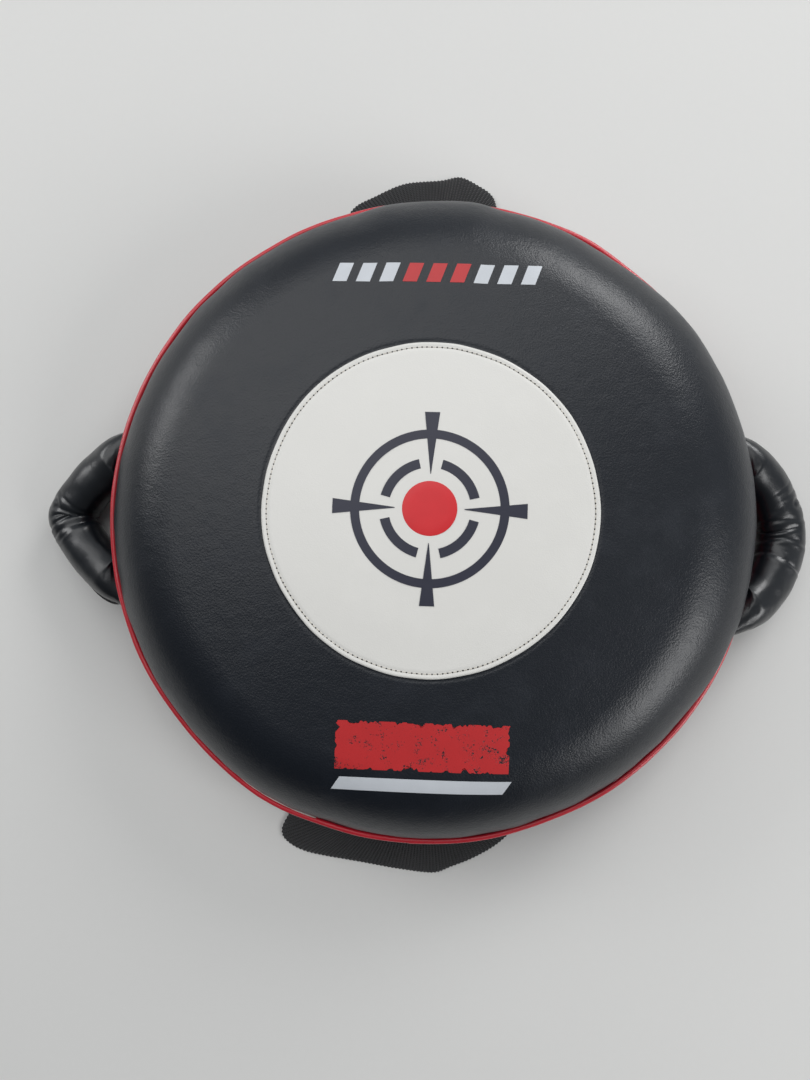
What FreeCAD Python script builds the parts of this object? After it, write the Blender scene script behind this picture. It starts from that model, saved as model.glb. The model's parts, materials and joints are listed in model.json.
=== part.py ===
"""Round punch shield: a stuffed disc with a sewn target patch, red piping, two
padded side grips and two webbing loops, modelled lying on its back.

Frame: +Z is the strike face's outward normal, +X and +Y lie in the face, with
the webbing loops at +Y and -Y and the padded grips at +X and -X.  The origin is
the centre of the flat back.  All lengths are in millimetres.
"""
import FreeCAD
import Part
import Sketcher
import math
import os

Vector = FreeCAD.Vector

SIZES = {
    # the stuffed disc
    "overall_radius": 250.0,         # over the front piping
    "total_height": 112.0,           # flat back to the crown of the strike face
    "dome_radius": 2500.0,           # gentle crown of the strike face
    "shoulder_radius": 68.0,         # rounding from the face down to the front seam
    "front_seam_height": 52.0,
    "back_seam_height": 20.0,
    "gusset_lean": 2.4,              # the back seam is this much smaller in radius
    "back_flat_radius": 165.0,
    # sheet goods and seams
    "cover_wall": 1.2,
    "seam_allowance": 10.0,
    "seam_gap": 0.05,
    "piping_radius": 2.3,
    "piping_cord_radius": 1.4,
    "piping_flange": 1.0,
    "layer_gap": 0.3,
    # stuffing
    "gel_thickness": 6.0,
    "gel_disc_radius": 170.0,
    "impact_foam_thickness": 15.0,
    "backing_top": 12.0,
    # target patch and prints
    "patch_radius": 119.5,
    "patch_thickness": 1.1,
    "patch_stitch_inset": 3.7,
    "thread_width": 0.8,
    "thread_thickness": 0.35,
    "ink_thickness": 0.2,
    "ring_outer_radius": 55.9,
    "ring_inner_radius": 49.6,
    "arc_outer_radius": 35.7,
    "arc_inner_radius": 28.9,
    "arc_gap": 15.6,
    "spike_outer_radius": 68.5,
    "spike_tip_radius": 24.5,
    "spike_width": 10.7,
    "bullseye_radius": 19.4,
    "upper_print_centre": 171.0,
    "upper_print_length": 153.0,
    "upper_print_height": 14.0,
    "upper_print_slant": 5.0,
    "upper_stripe_fill": 0.6,        # share of a stripe's pitch that is printed
    "band_print_centre": 167.0,
    "band_print_length": 122.0,
    "band_print_height": 34.0,
    "bar_print_centre": 194.5,
    "bar_print_length": 121.0,
    "bar_print_height": 9.5,
    "bar_print_slant": 6.0,
    # padded side grips
    "grip_radius": 18.5,
    "grip_end_half_width": 10.0,
    "grip_end_half_height": 1.8,
    "grip_wall": 1.0,
    "grip_taper": 0.26,              # share of the length over which an end swells
    "grip_floor_gap": 0.3,
    "grip_hinge_height": 34.0,
    "grip_hinge_standoff": 4.4,      # hinge line outside the side wall, at the tabs
    "grip_start": 2.2,               # sewn end to hinge line
    "grip_strap_half_width": 8.5,
    "grip_strap_thickness": 1.2,
    "grip_tab_width": 24.0,
    "grip_tab_height": 22.0,
    "grip_tab_thickness": 1.4,
    "left_grip_top": 56.0,
    "left_grip_bottom": -65.0,
    "left_grip_reach": 49.5,
    "left_grip_elbow": -4.0,
    "left_grip_elbow_pull": 26.0,
    "left_grip_end_pull": 18.0,
    "right_grip_top": 54.0,
    "right_grip_bottom": -75.0,
    "right_grip_reach": 41.0,
    "right_grip_elbow": -7.0,
    "right_grip_elbow_pull": 40.0,
    "right_grip_end_pull": 20.0,
    # webbing loops at the top and bottom
    "webbing_width": 38.0,
    "webbing_thickness": 1.8,
    "loop_hinge_inset": 42.4,        # shield's outline in to the loops' fold line
    "loop_hinge_drop": 4.2,          # fold line below the middle of the tabs
    "loop_hinge_gap": 1.0,
    "loop_floor_gap": 0.25,
    "loop_tab_length": 17.5,
    "tab_stitch_inset": 3.0,
    "top_loop_radius": 60.0,         # middle line of the loop
    "top_loop_overhang": 44.0,       # shield's outline out to the loop's outer edge
    "top_loop_shift": -5.0,
    "bottom_loop_radius": 72.0,
    "bottom_loop_overhang": 37.0,
    "bottom_loop_shift": -8.0,
}

STRIPES = 9
GRIP_SECTIONS = 17
SECTION_POINTS = 12
SHEET = "Sizes"


class Dim:
    """A length that carries its number and the sheet formula that gives it."""

    def __init__(self, number, formula=None):
        self.number = float(number)
        self.formula = formula if formula else f"({self.number!r})"

    def joined(self, other, number, sign):
        return Dim(number, f"({self.formula} {sign} {other.formula})")

    def __add__(self, other):
        other = as_dim(other)
        return self.joined(other, self.number + other.number, "+")

    def __sub__(self, other):
        other = as_dim(other)
        return self.joined(other, self.number - other.number, "-")

    def __mul__(self, other):
        other = as_dim(other)
        return self.joined(other, self.number * other.number, "*")

    def __truediv__(self, other):
        other = as_dim(other)
        return self.joined(other, self.number / other.number, "/")

    def __radd__(self, other):
        return as_dim(other) + self

    def __rsub__(self, other):
        return as_dim(other) - self

    def __rmul__(self, other):
        return as_dim(other) * self

    def __neg__(self):
        return as_dim(0.0) - self


def as_dim(value):
    return value if isinstance(value, Dim) else Dim(value)


def root(value):
    return Dim(math.sqrt(value.number), f"sqrt({value.formula})")


def arcsine(value):
    return Dim(math.degrees(math.asin(value.number)), f"asin({value.formula})")


def make_sheet(doc):
    """Write the driving sizes into the spreadsheet and return them as Dims."""
    sheet = doc.addObject("Spreadsheet::Sheet", SHEET)
    dims = {}
    for row, (name, number) in enumerate(SIZES.items(), start=1):
        sheet.set(f"A{row}", name)
        sheet.set(f"B{row}", str(number))
        sheet.setAlias(f"B{row}", name)
        dims[name] = Dim(number, f"{SHEET}.{name}")
    doc.recompute()
    return dims


class Arc:
    """A bend on the edge that leaves a corner: radius, centre and direction."""

    def __init__(self, radius, centre, ccw=True):
        self.radius = radius
        self.centre = centre
        self.ccw = ccw


def point_of(pair):
    return Vector(as_dim(pair[0]).number, as_dim(pair[1]).number, 0)


def edge_geometry(start, end, arc):
    """One outline edge, and which of its ends (1 or 2) the outline enters by."""
    if arc is None:
        return Part.LineSegment(point_of(start), point_of(end)), 1
    centre = point_of(arc.centre)
    circle = Part.Circle(centre, Vector(0, 0, 1), arc.radius.number)
    first = point_of(start) - centre
    last = point_of(end) - centre
    first_angle = math.atan2(first.y, first.x)
    last_angle = math.atan2(last.y, last.x)
    if arc.ccw:
        return Part.ArcOfCircle(circle, first_angle, last_angle), 1
    return Part.ArcOfCircle(circle, last_angle, first_angle), 2


def bind(sketch, constraint, value):
    """Add a dimensional constraint that follows the value's sheet formula."""
    index = sketch.addConstraint(constraint)
    sketch.setExpression(f"Constraints[{index}]", value.formula)


def pin_corner(sketch, edge, entry, corner):
    """Hold the point where the outline enters an edge at the corner's place."""
    for value, kind, axis in ((corner[0], "DistanceX", -2), (corner[1], "DistanceY", -1)):
        value = as_dim(value)
        if abs(value.number) < 1e-9:
            sketch.addConstraint(Sketcher.Constraint("PointOnObject", edge, entry, axis))
        else:
            bind(sketch, Sketcher.Constraint(kind, -1, 1, edge, entry, value.number), value)


def draw_loop(sketch, corners):
    """Draw a closed outline from corners (x, y) or (x, y, Arc)."""
    entries = []
    for number, corner in enumerate(corners):
        after = corners[(number + 1) % len(corners)]
        arc = corner[2] if len(corner) == 3 else None
        shape, entry = edge_geometry(corner[:2], after[:2], arc)
        edge = sketch.addGeometry(shape, False)
        entries.append((edge, entry, arc))
    for number, (edge, entry, arc) in enumerate(entries):
        next_edge, next_entry, _ = entries[(number + 1) % len(entries)]
        sketch.addConstraint(Sketcher.Constraint("Coincident", edge, 3 - entry, next_edge, next_entry))
        pin_corner(sketch, edge, entry, corners[number])
        if arc is not None:
            bind(sketch, Sketcher.Constraint("Radius", edge, arc.radius.number), arc.radius)


def draw_circle(sketch, centre, radius):
    edge = sketch.addGeometry(Part.Circle(point_of(centre), Vector(0, 0, 1), radius.number), False)
    pin_corner(sketch, edge, 3, centre)
    bind(sketch, Sketcher.Constraint("Radius", edge, radius.number), radius)


def origin_plane(body, role):
    return next(item for item in body.Origin.OriginFeatures if item.Role == role)


def revolved(doc, label, corners, hole=None):
    """A body turned about Z from an outline of (radius, height) corners."""
    body = doc.addObject("PartDesign::Body", label)
    sketch = body.newObject("Sketcher::SketchObject", f"{label}_profile")
    sketch.AttachmentSupport = (origin_plane(body, "XZ_Plane"), [""])
    sketch.MapMode = "FlatFace"
    draw_loop(sketch, corners)
    if hole is not None:
        draw_circle(sketch, *hole)
    turn = body.newObject("PartDesign::Revolution", f"{label}_turn")
    turn.Profile = sketch
    turn.ReferenceAxis = (sketch, ["V_Axis"])
    turn.Angle = 360.0
    body.Tip = turn
    return body


def prism(doc, name, loops, bottom, height):
    """Upright walls over closed outlines in the XY plane."""
    sketch = doc.addObject("Sketcher::SketchObject", f"{name}_outline")
    for corners in loops:
        draw_loop(sketch, corners)
    sketch.setExpression("Placement.Base.z", bottom.formula)
    solid = doc.addObject("Part::Extrusion", f"{name}_prism")
    solid.Base = sketch
    solid.DirMode = "Custom"
    solid.Dir = Vector(0, 0, 1)
    solid.setExpression("LengthFwd", height.formula)
    solid.Solid = True
    return solid


def cylinder(doc, name, radius, bottom, height, place=(0.0, 0.0)):
    solid = doc.addObject("Part::Cylinder", name)
    solid.setExpression("Radius", radius.formula)
    solid.setExpression("Height", as_dim(height).formula)
    for axis, value in zip("xyz", (place[0], place[1], bottom)):
        solid.setExpression(f"Placement.Base.{axis}", as_dim(value).formula)
    return solid


def box(doc, name, low, high):
    """A box from its low corner to its high corner."""
    solid = doc.addObject("Part::Box", name)
    for axis, side, start, stop in zip("xyz", ("Length", "Width", "Height"), low, high):
        solid.setExpression(side, (as_dim(stop) - start).formula)
        solid.setExpression(f"Placement.Base.{axis}", as_dim(start).formula)
    return solid


def boolean(doc, kind, name, base, tool):
    solid = doc.addObject(f"Part::{kind}", name)
    solid.Base = base
    solid.Tool = tool
    return solid


def fused(doc, name, solids):
    solid = doc.addObject("Part::MultiFuse", name)
    solid.Shapes = solids
    return solid


class ShieldForm:
    """The stuffed outline, from which every cover and layer takes its own."""

    def __init__(self, dims):
        self.dims = dims
        self.wall = dims["cover_wall"]
        self.gap = dims["layer_gap"]
        self.flange_half = dims["piping_flange"] / 2 + dims["seam_gap"]
        pipe = dims["piping_radius"]
        self.pipe_seat = root(pipe * pipe - self.flange_half * self.flange_half) + dims["seam_gap"]
        self.front_radius = dims["overall_radius"] - pipe - self.pipe_seat
        self.back_radius = self.front_radius - dims["gusset_lean"]
        self.front_seam = dims["front_seam_height"]
        self.back_seam = dims["back_seam_height"]
        self.notch_half = self.flange_half + self.wall + self.gap
        self.dome = dims["dome_radius"]
        self.shoulder = dims["shoulder_radius"]
        self.dome_centre = dims["total_height"] - self.dome
        reach = self.dome - self.shoulder
        self.shoulder_offset, self.shoulder_height = self.shoulder_centre(reach)
        self.tangent_x = self.shoulder_offset / reach
        self.tangent_z = (self.shoulder_height - self.dome_centre) / reach
        self.flat = dims["back_flat_radius"]
        corner = self.back_seam - self.flange_half
        span = self.back_radius - self.flat
        self.rim = (span * span + corner * corner) / (2 * corner)
        self.rim_end_x = span / self.rim
        self.rim_end_z = (corner - self.rim) / self.rim

    def shoulder_centre(self, reach):
        """Centre of the shoulder's arc, which starts at the seam and meets the dome without a kink."""
        low = self.front_seam + self.flange_half - self.dome_centre
        apart = root(self.front_radius * self.front_radius + low * low)
        along = (self.shoulder * self.shoulder - reach * reach + apart * apart) / (apart * 2)
        aside = root(self.shoulder * self.shoulder - along * along)
        inward, down = self.front_radius / apart, low / apart
        return (self.front_radius - inward * along - down * aside,
                self.front_seam + self.flange_half - down * along + inward * aside)

    def shoulder_reach(self, height, offset):
        """Radius at which the shoulder reaches a height."""
        grown = self.shoulder + offset
        rise = height - self.shoulder_height
        return self.shoulder_offset + root(grown * grown - rise * rise)

    def shoulder_top(self, radius, offset):
        """Height of the shoulder above its centre line at a radius."""
        grown = self.shoulder + offset
        out = radius - self.shoulder_offset
        return self.shoulder_height + root(grown * grown - out * out)

    def face_height(self, radius, offset):
        """Height of the strike face at a radius, moved out along its normal."""
        grown = self.dome + offset
        return self.dome_centre + root(grown * grown - as_dim(radius) * radius)

    def face_arc(self, offset, ccw=True):
        return Arc(self.dome + offset, (0.0, self.dome_centre), ccw)

    def shoulder_arc(self, offset, ccw=True):
        return Arc(self.shoulder + offset, (self.shoulder_offset, self.shoulder_height), ccw)

    def face_edge(self, offset):
        """Where the dome runs into the shoulder."""
        grown = self.dome + offset
        return grown * self.tangent_x, self.dome_centre + grown * self.tangent_z

    def rim_arc(self, offset, ccw=True):
        return Arc(self.rim + offset, (self.flat, self.rim), ccw)

    def rim_radius(self, height, offset):
        """Radius at which the rounded back rim reaches a height."""
        grown = self.rim + offset
        drop = self.rim - height
        return self.flat + root(grown * grown - drop * drop)

    def rim_end(self, offset):
        grown = self.rim + offset
        return self.flat + grown * self.rim_end_x, self.rim + grown * self.rim_end_z

    def face_layer(self, doc, name, inner, outer, low, high):
        """A sheet along the strike face, between two offsets and two radii."""
        return revolved(doc, name, [
            (high, self.face_height(high, inner)),
            (high, self.face_height(high, outer), self.face_arc(outer)),
            (low, self.face_height(low, outer)),
            (low, self.face_height(low, inner), self.face_arc(inner, False)),
        ])

    def rim_layer(self, doc, name, inner, outer):
        """A sheet outside the rounded back rim, between two offsets from it."""
        return revolved(doc, name, [
            (self.flat, -outer, self.rim_arc(outer)),
            self.rim_end(outer),
            (*self.rim_end(inner), self.rim_arc(inner, False)),
            (self.flat, -inner),
        ])

    def side_layer(self, doc, name, inner, outer):
        """A sheet outside the side wall, between two offsets from it."""
        low = self.back_seam + self.flange_half
        high = self.front_seam - self.flange_half
        return revolved(doc, name, [
            (self.back_radius + inner, low),
            (self.back_radius + outer, low),
            (self.front_radius + outer, high),
            (self.front_radius + inner, high),
        ])


def front_cover(doc, form):
    """Leather cap: face, shoulder and upper side, turned in at the seam."""
    low = form.front_seam + form.flange_half
    inset = -form.wall
    inner_edge = form.face_edge(inset)
    lip = form.front_radius - form.dims["seam_allowance"]
    return revolved(doc, "front_cover", [
        (form.front_radius, low, form.shoulder_arc(0.0)),
        (*form.face_edge(0.0), form.face_arc(0.0)),
        (0.0, form.dims["total_height"]),
        (0.0, form.dims["total_height"] + inset, form.face_arc(inset, False)),
        (*inner_edge, form.shoulder_arc(inset, False)),
        (form.shoulder_reach(low + form.wall, inset), low + form.wall),
        (lip, low + form.wall),
        (lip, low),
    ])


def side_gusset(doc, form):
    """Side strip between the two seams, turned in at both."""
    low = form.back_seam + form.flange_half
    high = form.front_seam - form.flange_half
    allowance = form.dims["seam_allowance"]
    return revolved(doc, "side_gusset", [
        (form.back_radius, low),
        (form.front_radius, high),
        (form.front_radius - allowance, high),
        (form.front_radius - allowance, high - form.wall),
        (form.front_radius - form.wall, high - form.wall),
        (form.back_radius - form.wall, low + form.wall),
        (form.back_radius - allowance, low + form.wall),
        (form.back_radius - allowance, low),
    ])


def back_cover(doc, form):
    """Back panel with a rounded rim, turned in at the seam."""
    high = form.back_seam - form.flange_half
    inset = -form.wall
    lip = form.back_radius - form.dims["seam_allowance"]
    return revolved(doc, "back_cover", [
        (0.0, 0.0),
        (form.flat, 0.0, form.rim_arc(0.0)),
        (form.back_radius, high),
        (lip, high),
        (lip, high - form.wall),
        (form.rim_radius(high - form.wall, inset), high - form.wall, form.rim_arc(inset, False)),
        (form.flat, form.wall),
        (0.0, form.wall),
    ])


def piping(doc, form, side, seam_radius, seam_height):
    """Welt along a seam: a wrapped skin with its sewn flange, and its cord."""
    dims = form.dims
    centre = (seam_radius + form.pipe_seat, seam_height)
    half = dims["piping_flange"] / 2
    skin = dims["piping_radius"]
    neck = centre[0] - root(skin * skin - half * half)
    lip = seam_radius - dims["seam_allowance"]
    cover = revolved(doc, f"{side}_piping", [
        (lip, seam_height - half),
        (neck, seam_height - half, Arc(skin, centre)),
        (neck, seam_height + half),
        (lip, seam_height + half),
    ], hole=(centre, dims["piping_cord_radius"] + dims["seam_gap"]))
    cord = doc.addObject("Part::Torus", f"{side}_piping_cord")
    cord.setExpression("Radius1", centre[0].formula)
    cord.setExpression("Radius2", dims["piping_cord_radius"].formula)
    cord.setExpression("Placement.Base.z", seam_height.formula)
    return [cover, cord]


def stuffing(doc, form):
    """Gel sheet, impact foam, core foam and the firm backing sheet."""
    dims = form.dims
    skin = -(form.wall + form.gap)
    gel_low = skin - dims["gel_thickness"]
    impact_top = gel_low - form.gap
    impact_low = impact_top - dims["impact_foam_thickness"]
    disc = dims["gel_disc_radius"]
    gel = form.face_layer(doc, "gel_sheet", gel_low, skin, 0.0, disc)
    impact = form.face_layer(doc, "impact_foam", impact_low, impact_top, 0.0, disc)
    return [gel, impact, core_foam(doc, form, skin, impact_low - form.gap, disc + form.gap),
            backing_sheet(doc, form, skin)]


def core_foam(doc, form, skin, well, well_radius):
    """Main block, notched round the seams, with a well for the sheets above."""
    dims = form.dims
    bottom = dims["backing_top"] + form.gap
    notch = form.notch_half
    depth = dims["seam_allowance"] + form.gap
    back_in = form.back_radius + skin
    front_in = form.front_radius + skin
    below = form.back_seam - notch
    return revolved(doc, "core_foam", [
        (0.0, bottom),
        (form.rim_radius(bottom, skin), bottom, form.rim_arc(skin)),
        (form.rim_radius(below, skin), below),
        (form.back_radius - depth, below),
        (form.back_radius - depth, form.back_seam + notch),
        (back_in, form.back_seam + notch),
        (front_in, form.front_seam - notch),
        (form.front_radius - depth, form.front_seam - notch),
        (form.front_radius - depth, form.front_seam + notch),
        (form.shoulder_reach(form.front_seam + notch, skin), form.front_seam + notch, form.shoulder_arc(skin)),
        (*form.face_edge(skin), form.face_arc(skin)),
        (well_radius, form.face_height(well_radius, skin)),
        (well_radius, form.face_height(well_radius, well), form.face_arc(well)),
        (0.0, dims["total_height"] + well),
    ])


def backing_sheet(doc, form, skin):
    top = form.dims["backing_top"]
    return revolved(doc, "backing_sheet", [
        (0.0, -skin),
        (form.flat, -skin, form.rim_arc(skin)),
        (form.rim_radius(top, skin), top),
        (0.0, top),
    ])


def wedge_outline(turn, half_width, outer, tip):
    """A triangle that points at the centre from one of four sides."""
    along = ((1, 0), (0, 1), (-1, 0), (0, -1))[turn]
    across = (-along[1], along[0])
    corners = ((outer, -half_width), (outer, half_width), (tip, as_dim(0.0)))
    return [(placed(reach, side, along[0], across[0]), placed(reach, side, along[1], across[1]))
            for reach, side in corners]


def placed(reach, side, along, across):
    """One coordinate of a point at reach and side along two unit directions."""
    if along:
        return reach if along > 0 else -reach
    if side.number == 0:
        return as_dim(0.0)
    return side if across > 0 else -side


def ink_layer(form, doc, name, floor):
    ink = form.dims["ink_thickness"]
    return form.face_layer(doc, name, floor, floor + ink, 0.0, form.dims["gel_disc_radius"])


def target(doc, form):
    """Sewn round patch, its thread line and its printed aiming marks."""
    dims = form.dims
    thick = dims["patch_thickness"]
    patch = form.face_layer(doc, "target_patch", as_dim(0.0), thick, 0.0, dims["patch_radius"])
    seam = dims["patch_radius"] - dims["patch_stitch_inset"]
    half = dims["thread_width"] / 2
    thread = form.face_layer(doc, "patch_thread", thick, thick + dims["thread_thickness"], seam - half, seam + half)
    low = dims["total_height"] / 2
    tall = dims["total_height"]
    ring = boolean(doc, "Cut", "ring_wall",
                   cylinder(doc, "ring_outer", dims["ring_outer_radius"], low, tall),
                   cylinder(doc, "ring_inner", dims["ring_inner_radius"], low, tall))
    arcs = boolean(doc, "Cut", "arc_wall",
                   cylinder(doc, "arc_outer", dims["arc_outer_radius"], low, tall),
                   cylinder(doc, "arc_inner", dims["arc_inner_radius"], low, tall))
    gap = dims["arc_gap"] / 2
    reach = dims["arc_outer_radius"] + dims["arc_gap"]
    across = box(doc, "arc_gap_across", (-reach, -gap, low), (reach, gap, low + tall))
    upright = box(doc, "arc_gap_upright", (-gap, -reach, low), (gap, reach, low + tall))
    broken = boolean(doc, "Cut", "arc_pieces", arcs, fused(doc, "arc_gaps", [across, upright]))
    spikes = prism(doc, "spikes", [
        wedge_outline(turn, dims["spike_width"] / 2, dims["spike_outer_radius"], dims["spike_tip_radius"])
        for turn in range(4)], low, tall)
    marks = fused(doc, "aiming_marks", [ring, broken, spikes])
    reticle = boolean(doc, "Common", "crosshair_print", marks, ink_layer(form, doc, "crosshair_ink", thick))
    bullseye = form.face_layer(doc, "bullseye_print", thick, thick + dims["ink_thickness"],
                               0.0, dims["bullseye_radius"])
    return [patch, thread, reticle, bullseye]


def slanted(left, right, bottom, top, slant):
    """Corners of a bar whose upper edge is shifted towards +X."""
    return [(left, bottom), (right, bottom), (right + slant, top), (left + slant, top)]


def prints(doc, form):
    """Plain stripes above the patch, a red band and a white bar below it."""
    dims = form.dims
    low = dims["total_height"] / 2
    zero = as_dim(0.0)
    height = dims["upper_print_height"]
    top = dims["upper_print_centre"] + height / 2
    slant = dims["upper_print_slant"]
    pitch = (dims["upper_print_length"] - slant) / (STRIPES - 1 + dims["upper_stripe_fill"])
    fill = pitch * dims["upper_stripe_fill"]
    start = -(dims["upper_print_length"] / 2)
    stripes = [slanted(start + pitch * number, start + pitch * number + fill, top - height, top, slant)
               for number in range(STRIPES)]
    third = STRIPES // 3
    outlines = {
        "upper_stripes_white": stripes[:third] + stripes[-third:],
        "upper_stripes_red": stripes[third:-third],
    }
    half = dims["band_print_length"] / 2
    centre = -dims["band_print_centre"]
    outlines["lower_band_red"] = [slanted(-half, half, centre - dims["band_print_height"] / 2,
                                          centre + dims["band_print_height"] / 2, zero)]
    slant = dims["bar_print_slant"]
    half = dims["bar_print_length"] / 2
    centre = -dims["bar_print_centre"]
    outlines["lower_bar_white"] = [slanted(-half, half - slant, centre - dims["bar_print_height"] / 2,
                                           centre + dims["bar_print_height"] / 2, slant)]
    made = []
    for name, loops in outlines.items():
        walls = prism(doc, name, loops, low, dims["total_height"])
        made.append(boolean(doc, "Common", name, walls, print_ink(doc, form, name)))
    return made


def print_ink(doc, form, name):
    """Ink depth over the dome of the strike face and the upper half of the shoulder."""
    ink = form.dims["ink_thickness"]
    foot = (form.face_edge(0.0)[0] + form.front_radius) / 2
    return revolved(doc, f"{name}_ink", [
        (foot, form.shoulder_top(foot, as_dim(0.0))),
        (foot, form.shoulder_top(foot, ink), form.shoulder_arc(ink)),
        (*form.face_edge(ink), form.face_arc(ink)),
        (0.0, form.dims["total_height"] + ink),
        (0.0, form.dims["total_height"], form.face_arc(0.0, False)),
        (*form.face_edge(0.0), form.shoulder_arc(0.0, False)),
    ])


class Grip:
    """A stuffed side grip: its middle line, its sections and its pieces."""

    def __init__(self, doc, form, side):
        self.doc = doc
        self.side = side
        self.sign = 1.0 if side == "right" else -1.0
        self.size = {name: dim.number for name, dim in form.dims.items()}
        prefix = f"{side}_grip_"
        self.own = {name[len(prefix):]: number for name, number in self.size.items() if name.startswith(prefix)}
        self.hinge_x = self.wall_distance(form) + self.size["grip_hinge_standoff"]
        self.hinge_z = self.size["grip_hinge_height"]

    def wall_distance(self, form):
        """How far out the side wall stands at the tabs' near corners."""
        corner = min(abs(self.own["top"]), abs(self.own["bottom"])) - self.size["grip_tab_width"] / 2
        return math.sqrt(form.front_radius.number ** 2 - corner ** 2)

    def middle(self, share):
        """Point and direction of the middle line: two cubic bends that meet at the elbow."""
        own = self.own
        pull = own["end_pull"]
        elbow = own["elbow"]
        start = self.size["grip_start"]
        if share <= 0.5:
            along = share * 2
            poles = ((start, own["top"]), (start + pull, own["top"]),
                     (own["reach"], elbow + own["elbow_pull"]), (own["reach"], elbow))
        else:
            along = share * 2 - 1
            poles = ((own["reach"], elbow), (own["reach"], elbow - own["elbow_pull"]),
                     (start + pull, own["bottom"]), (start, own["bottom"]))
        back = 1 - along
        weights = (back ** 3, 3 * back * back * along, 3 * back * along * along, along ** 3)
        slopes = (-3 * back * back, 3 * back * (back - 2 * along), 3 * along * (2 * back - along), 3 * along * along)
        point = [sum(weight * pole[axis] for weight, pole in zip(weights, poles)) for axis in (0, 1)]
        slope = [sum(weight * pole[axis] for weight, pole in zip(slopes, poles)) for axis in (0, 1)]
        return Vector(point[0], point[1], 0), Vector(slope[0], slope[1], 0).normalize()

    def swell(self, share):
        """0 at a sewn end, 1 where the grip is fully stuffed."""
        near = min(share, 1 - share) / self.size["grip_taper"]
        if near >= 1:
            return 1.0
        return near * near * (3 - 2 * near)

    def section(self, share, shrink):
        """Closed smooth curve round the middle line, smaller by shrink all round."""
        point, direction = self.middle(share)
        across = Vector(-direction.y, direction.x, 0)
        full = self.size["grip_radius"]
        swell = self.swell(share)
        half_width = self.size["grip_end_half_width"] * (1 - swell) + full * swell - shrink
        half_height = max(self.size["grip_end_half_height"] * (1 - swell) + full * swell - shrink, 0.2)
        ring = []
        for number in range(SECTION_POINTS):
            angle = 2 * math.pi * number / SECTION_POINTS
            spot = point + across * (half_width * math.cos(angle)) + Vector(0, 0, half_height * math.sin(angle))
            ring.append(Vector(spot.x * self.sign, spot.y, spot.z))
        curve = Part.BSplineCurve()
        curve.interpolate(ring, PeriodicFlag=True)
        return Part.Wire(curve.toShape())

    def tube(self, shrink, first=0.0, last=1.0):
        shares = [first + (last - first) * number / (GRIP_SECTIONS - 1) for number in range(GRIP_SECTIONS)]
        return Part.makeLoft([self.section(share, shrink) for share in shares], True)

    def strap(self, half_width, thickness, first=0.0, last=1.0):
        """Flat band along the middle line, its width across the bend."""
        wires = []
        for number in range(GRIP_SECTIONS):
            point, direction = self.middle(first + (last - first) * number / (GRIP_SECTIONS - 1))
            across = Vector(-direction.y, direction.x, 0) * half_width
            lift = Vector(0, 0, thickness / 2)
            ring = [point + across + lift, point - across + lift, point - across - lift, point + across - lift]
            ring = [Vector(spot.x * self.sign, spot.y, spot.z) for spot in ring]
            wires.append(Part.makePolygon(ring + ring[:1]))
        return Part.makeLoft(wires, True)

    def droop(self):
        """Angle below level at which the stuffed grip just clears the floor."""
        fall = self.hinge_z - self.size["grip_radius"] - self.size["grip_floor_gap"]
        return math.degrees(math.asin(fall / self.own["reach"]))

    def place(self):
        turn = FreeCAD.Rotation(Vector(0, 1, 0), self.sign * self.droop())
        return FreeCAD.Placement(Vector(self.sign * self.hinge_x, 0, self.hinge_z), turn)

    def feature(self, name, shape):
        piece = self.doc.addObject("Part::Feature", f"{self.side}_grip_{name}")
        piece.Shape = shape
        piece.Placement = self.place()
        return piece

    def build(self):
        """Leather sleeve, foam roll and the webbing strap that runs through it."""
        wall = self.size["grip_wall"]
        gap = self.size["layer_gap"]
        half = self.size["grip_strap_half_width"]
        thick = self.size["grip_strap_thickness"]
        share = self.size["grip_taper"] / 2
        hollow = self.tube(wall)
        roll = self.tube(wall + gap, share, 1 - share)
        slot = self.strap(half + gap, thick + 2 * gap)
        return [
            self.feature("sleeve", self.tube(0.0).cut(hollow)),
            self.feature("foam", roll.cut(slot)),
            self.feature("strap", self.strap(half, thick)),
        ]

    def tabs(self, form):
        """Stitched end tabs that hold the grip on the side wall, and their thread."""
        dims = form.dims
        thick = dims["grip_tab_thickness"]
        sheet = form.side_layer(self.doc, f"{self.side}_grip_tab_sheet", as_dim(0.0), thick)
        line = form.side_layer(self.doc, f"{self.side}_grip_thread_sheet", thick, thick + dims["thread_thickness"])
        far = dims["overall_radius"]
        near = far / 2
        reach = (near, far) if self.sign > 0 else (-far, -near)
        low = dims["grip_hinge_height"] - dims["grip_tab_height"] / 2
        half = dims["grip_tab_width"] / 2
        plates = []
        frames = []
        for end in ("top", "bottom"):
            middle = dims[f"{self.side}_grip_{end}"]
            name = f"{self.side}_grip_{end}"
            span = ((middle - half, low), (middle + half, low + dims["grip_tab_height"]))
            plates.append(crosswise_box(self.doc, f"{name}_plate", reach, span, as_dim(0.0)))
            frames.append(stitched_frame(self.doc, name, dims, lambda label, inset, run=span:
                                         crosswise_box(self.doc, label, reach, run, inset)))
        tab = boolean(self.doc, "Common", f"{self.side}_grip_tabs",
                      sheet, fused(self.doc, f"{self.side}_grip_plates", plates))
        thread = boolean(self.doc, "Common", f"{self.side}_grip_tab_thread",
                         line, fused(self.doc, f"{self.side}_grip_frames", frames))
        return [tab, thread]


def crosswise_box(doc, name, reach, span, inset):
    """A box along X whose Y and Z sides stand in by the inset."""
    (low_y, low_z), (high_y, high_z) = span
    return box(doc, name, (reach[0], low_y + inset, low_z + inset), (reach[1], high_y - inset, high_z - inset))


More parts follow.
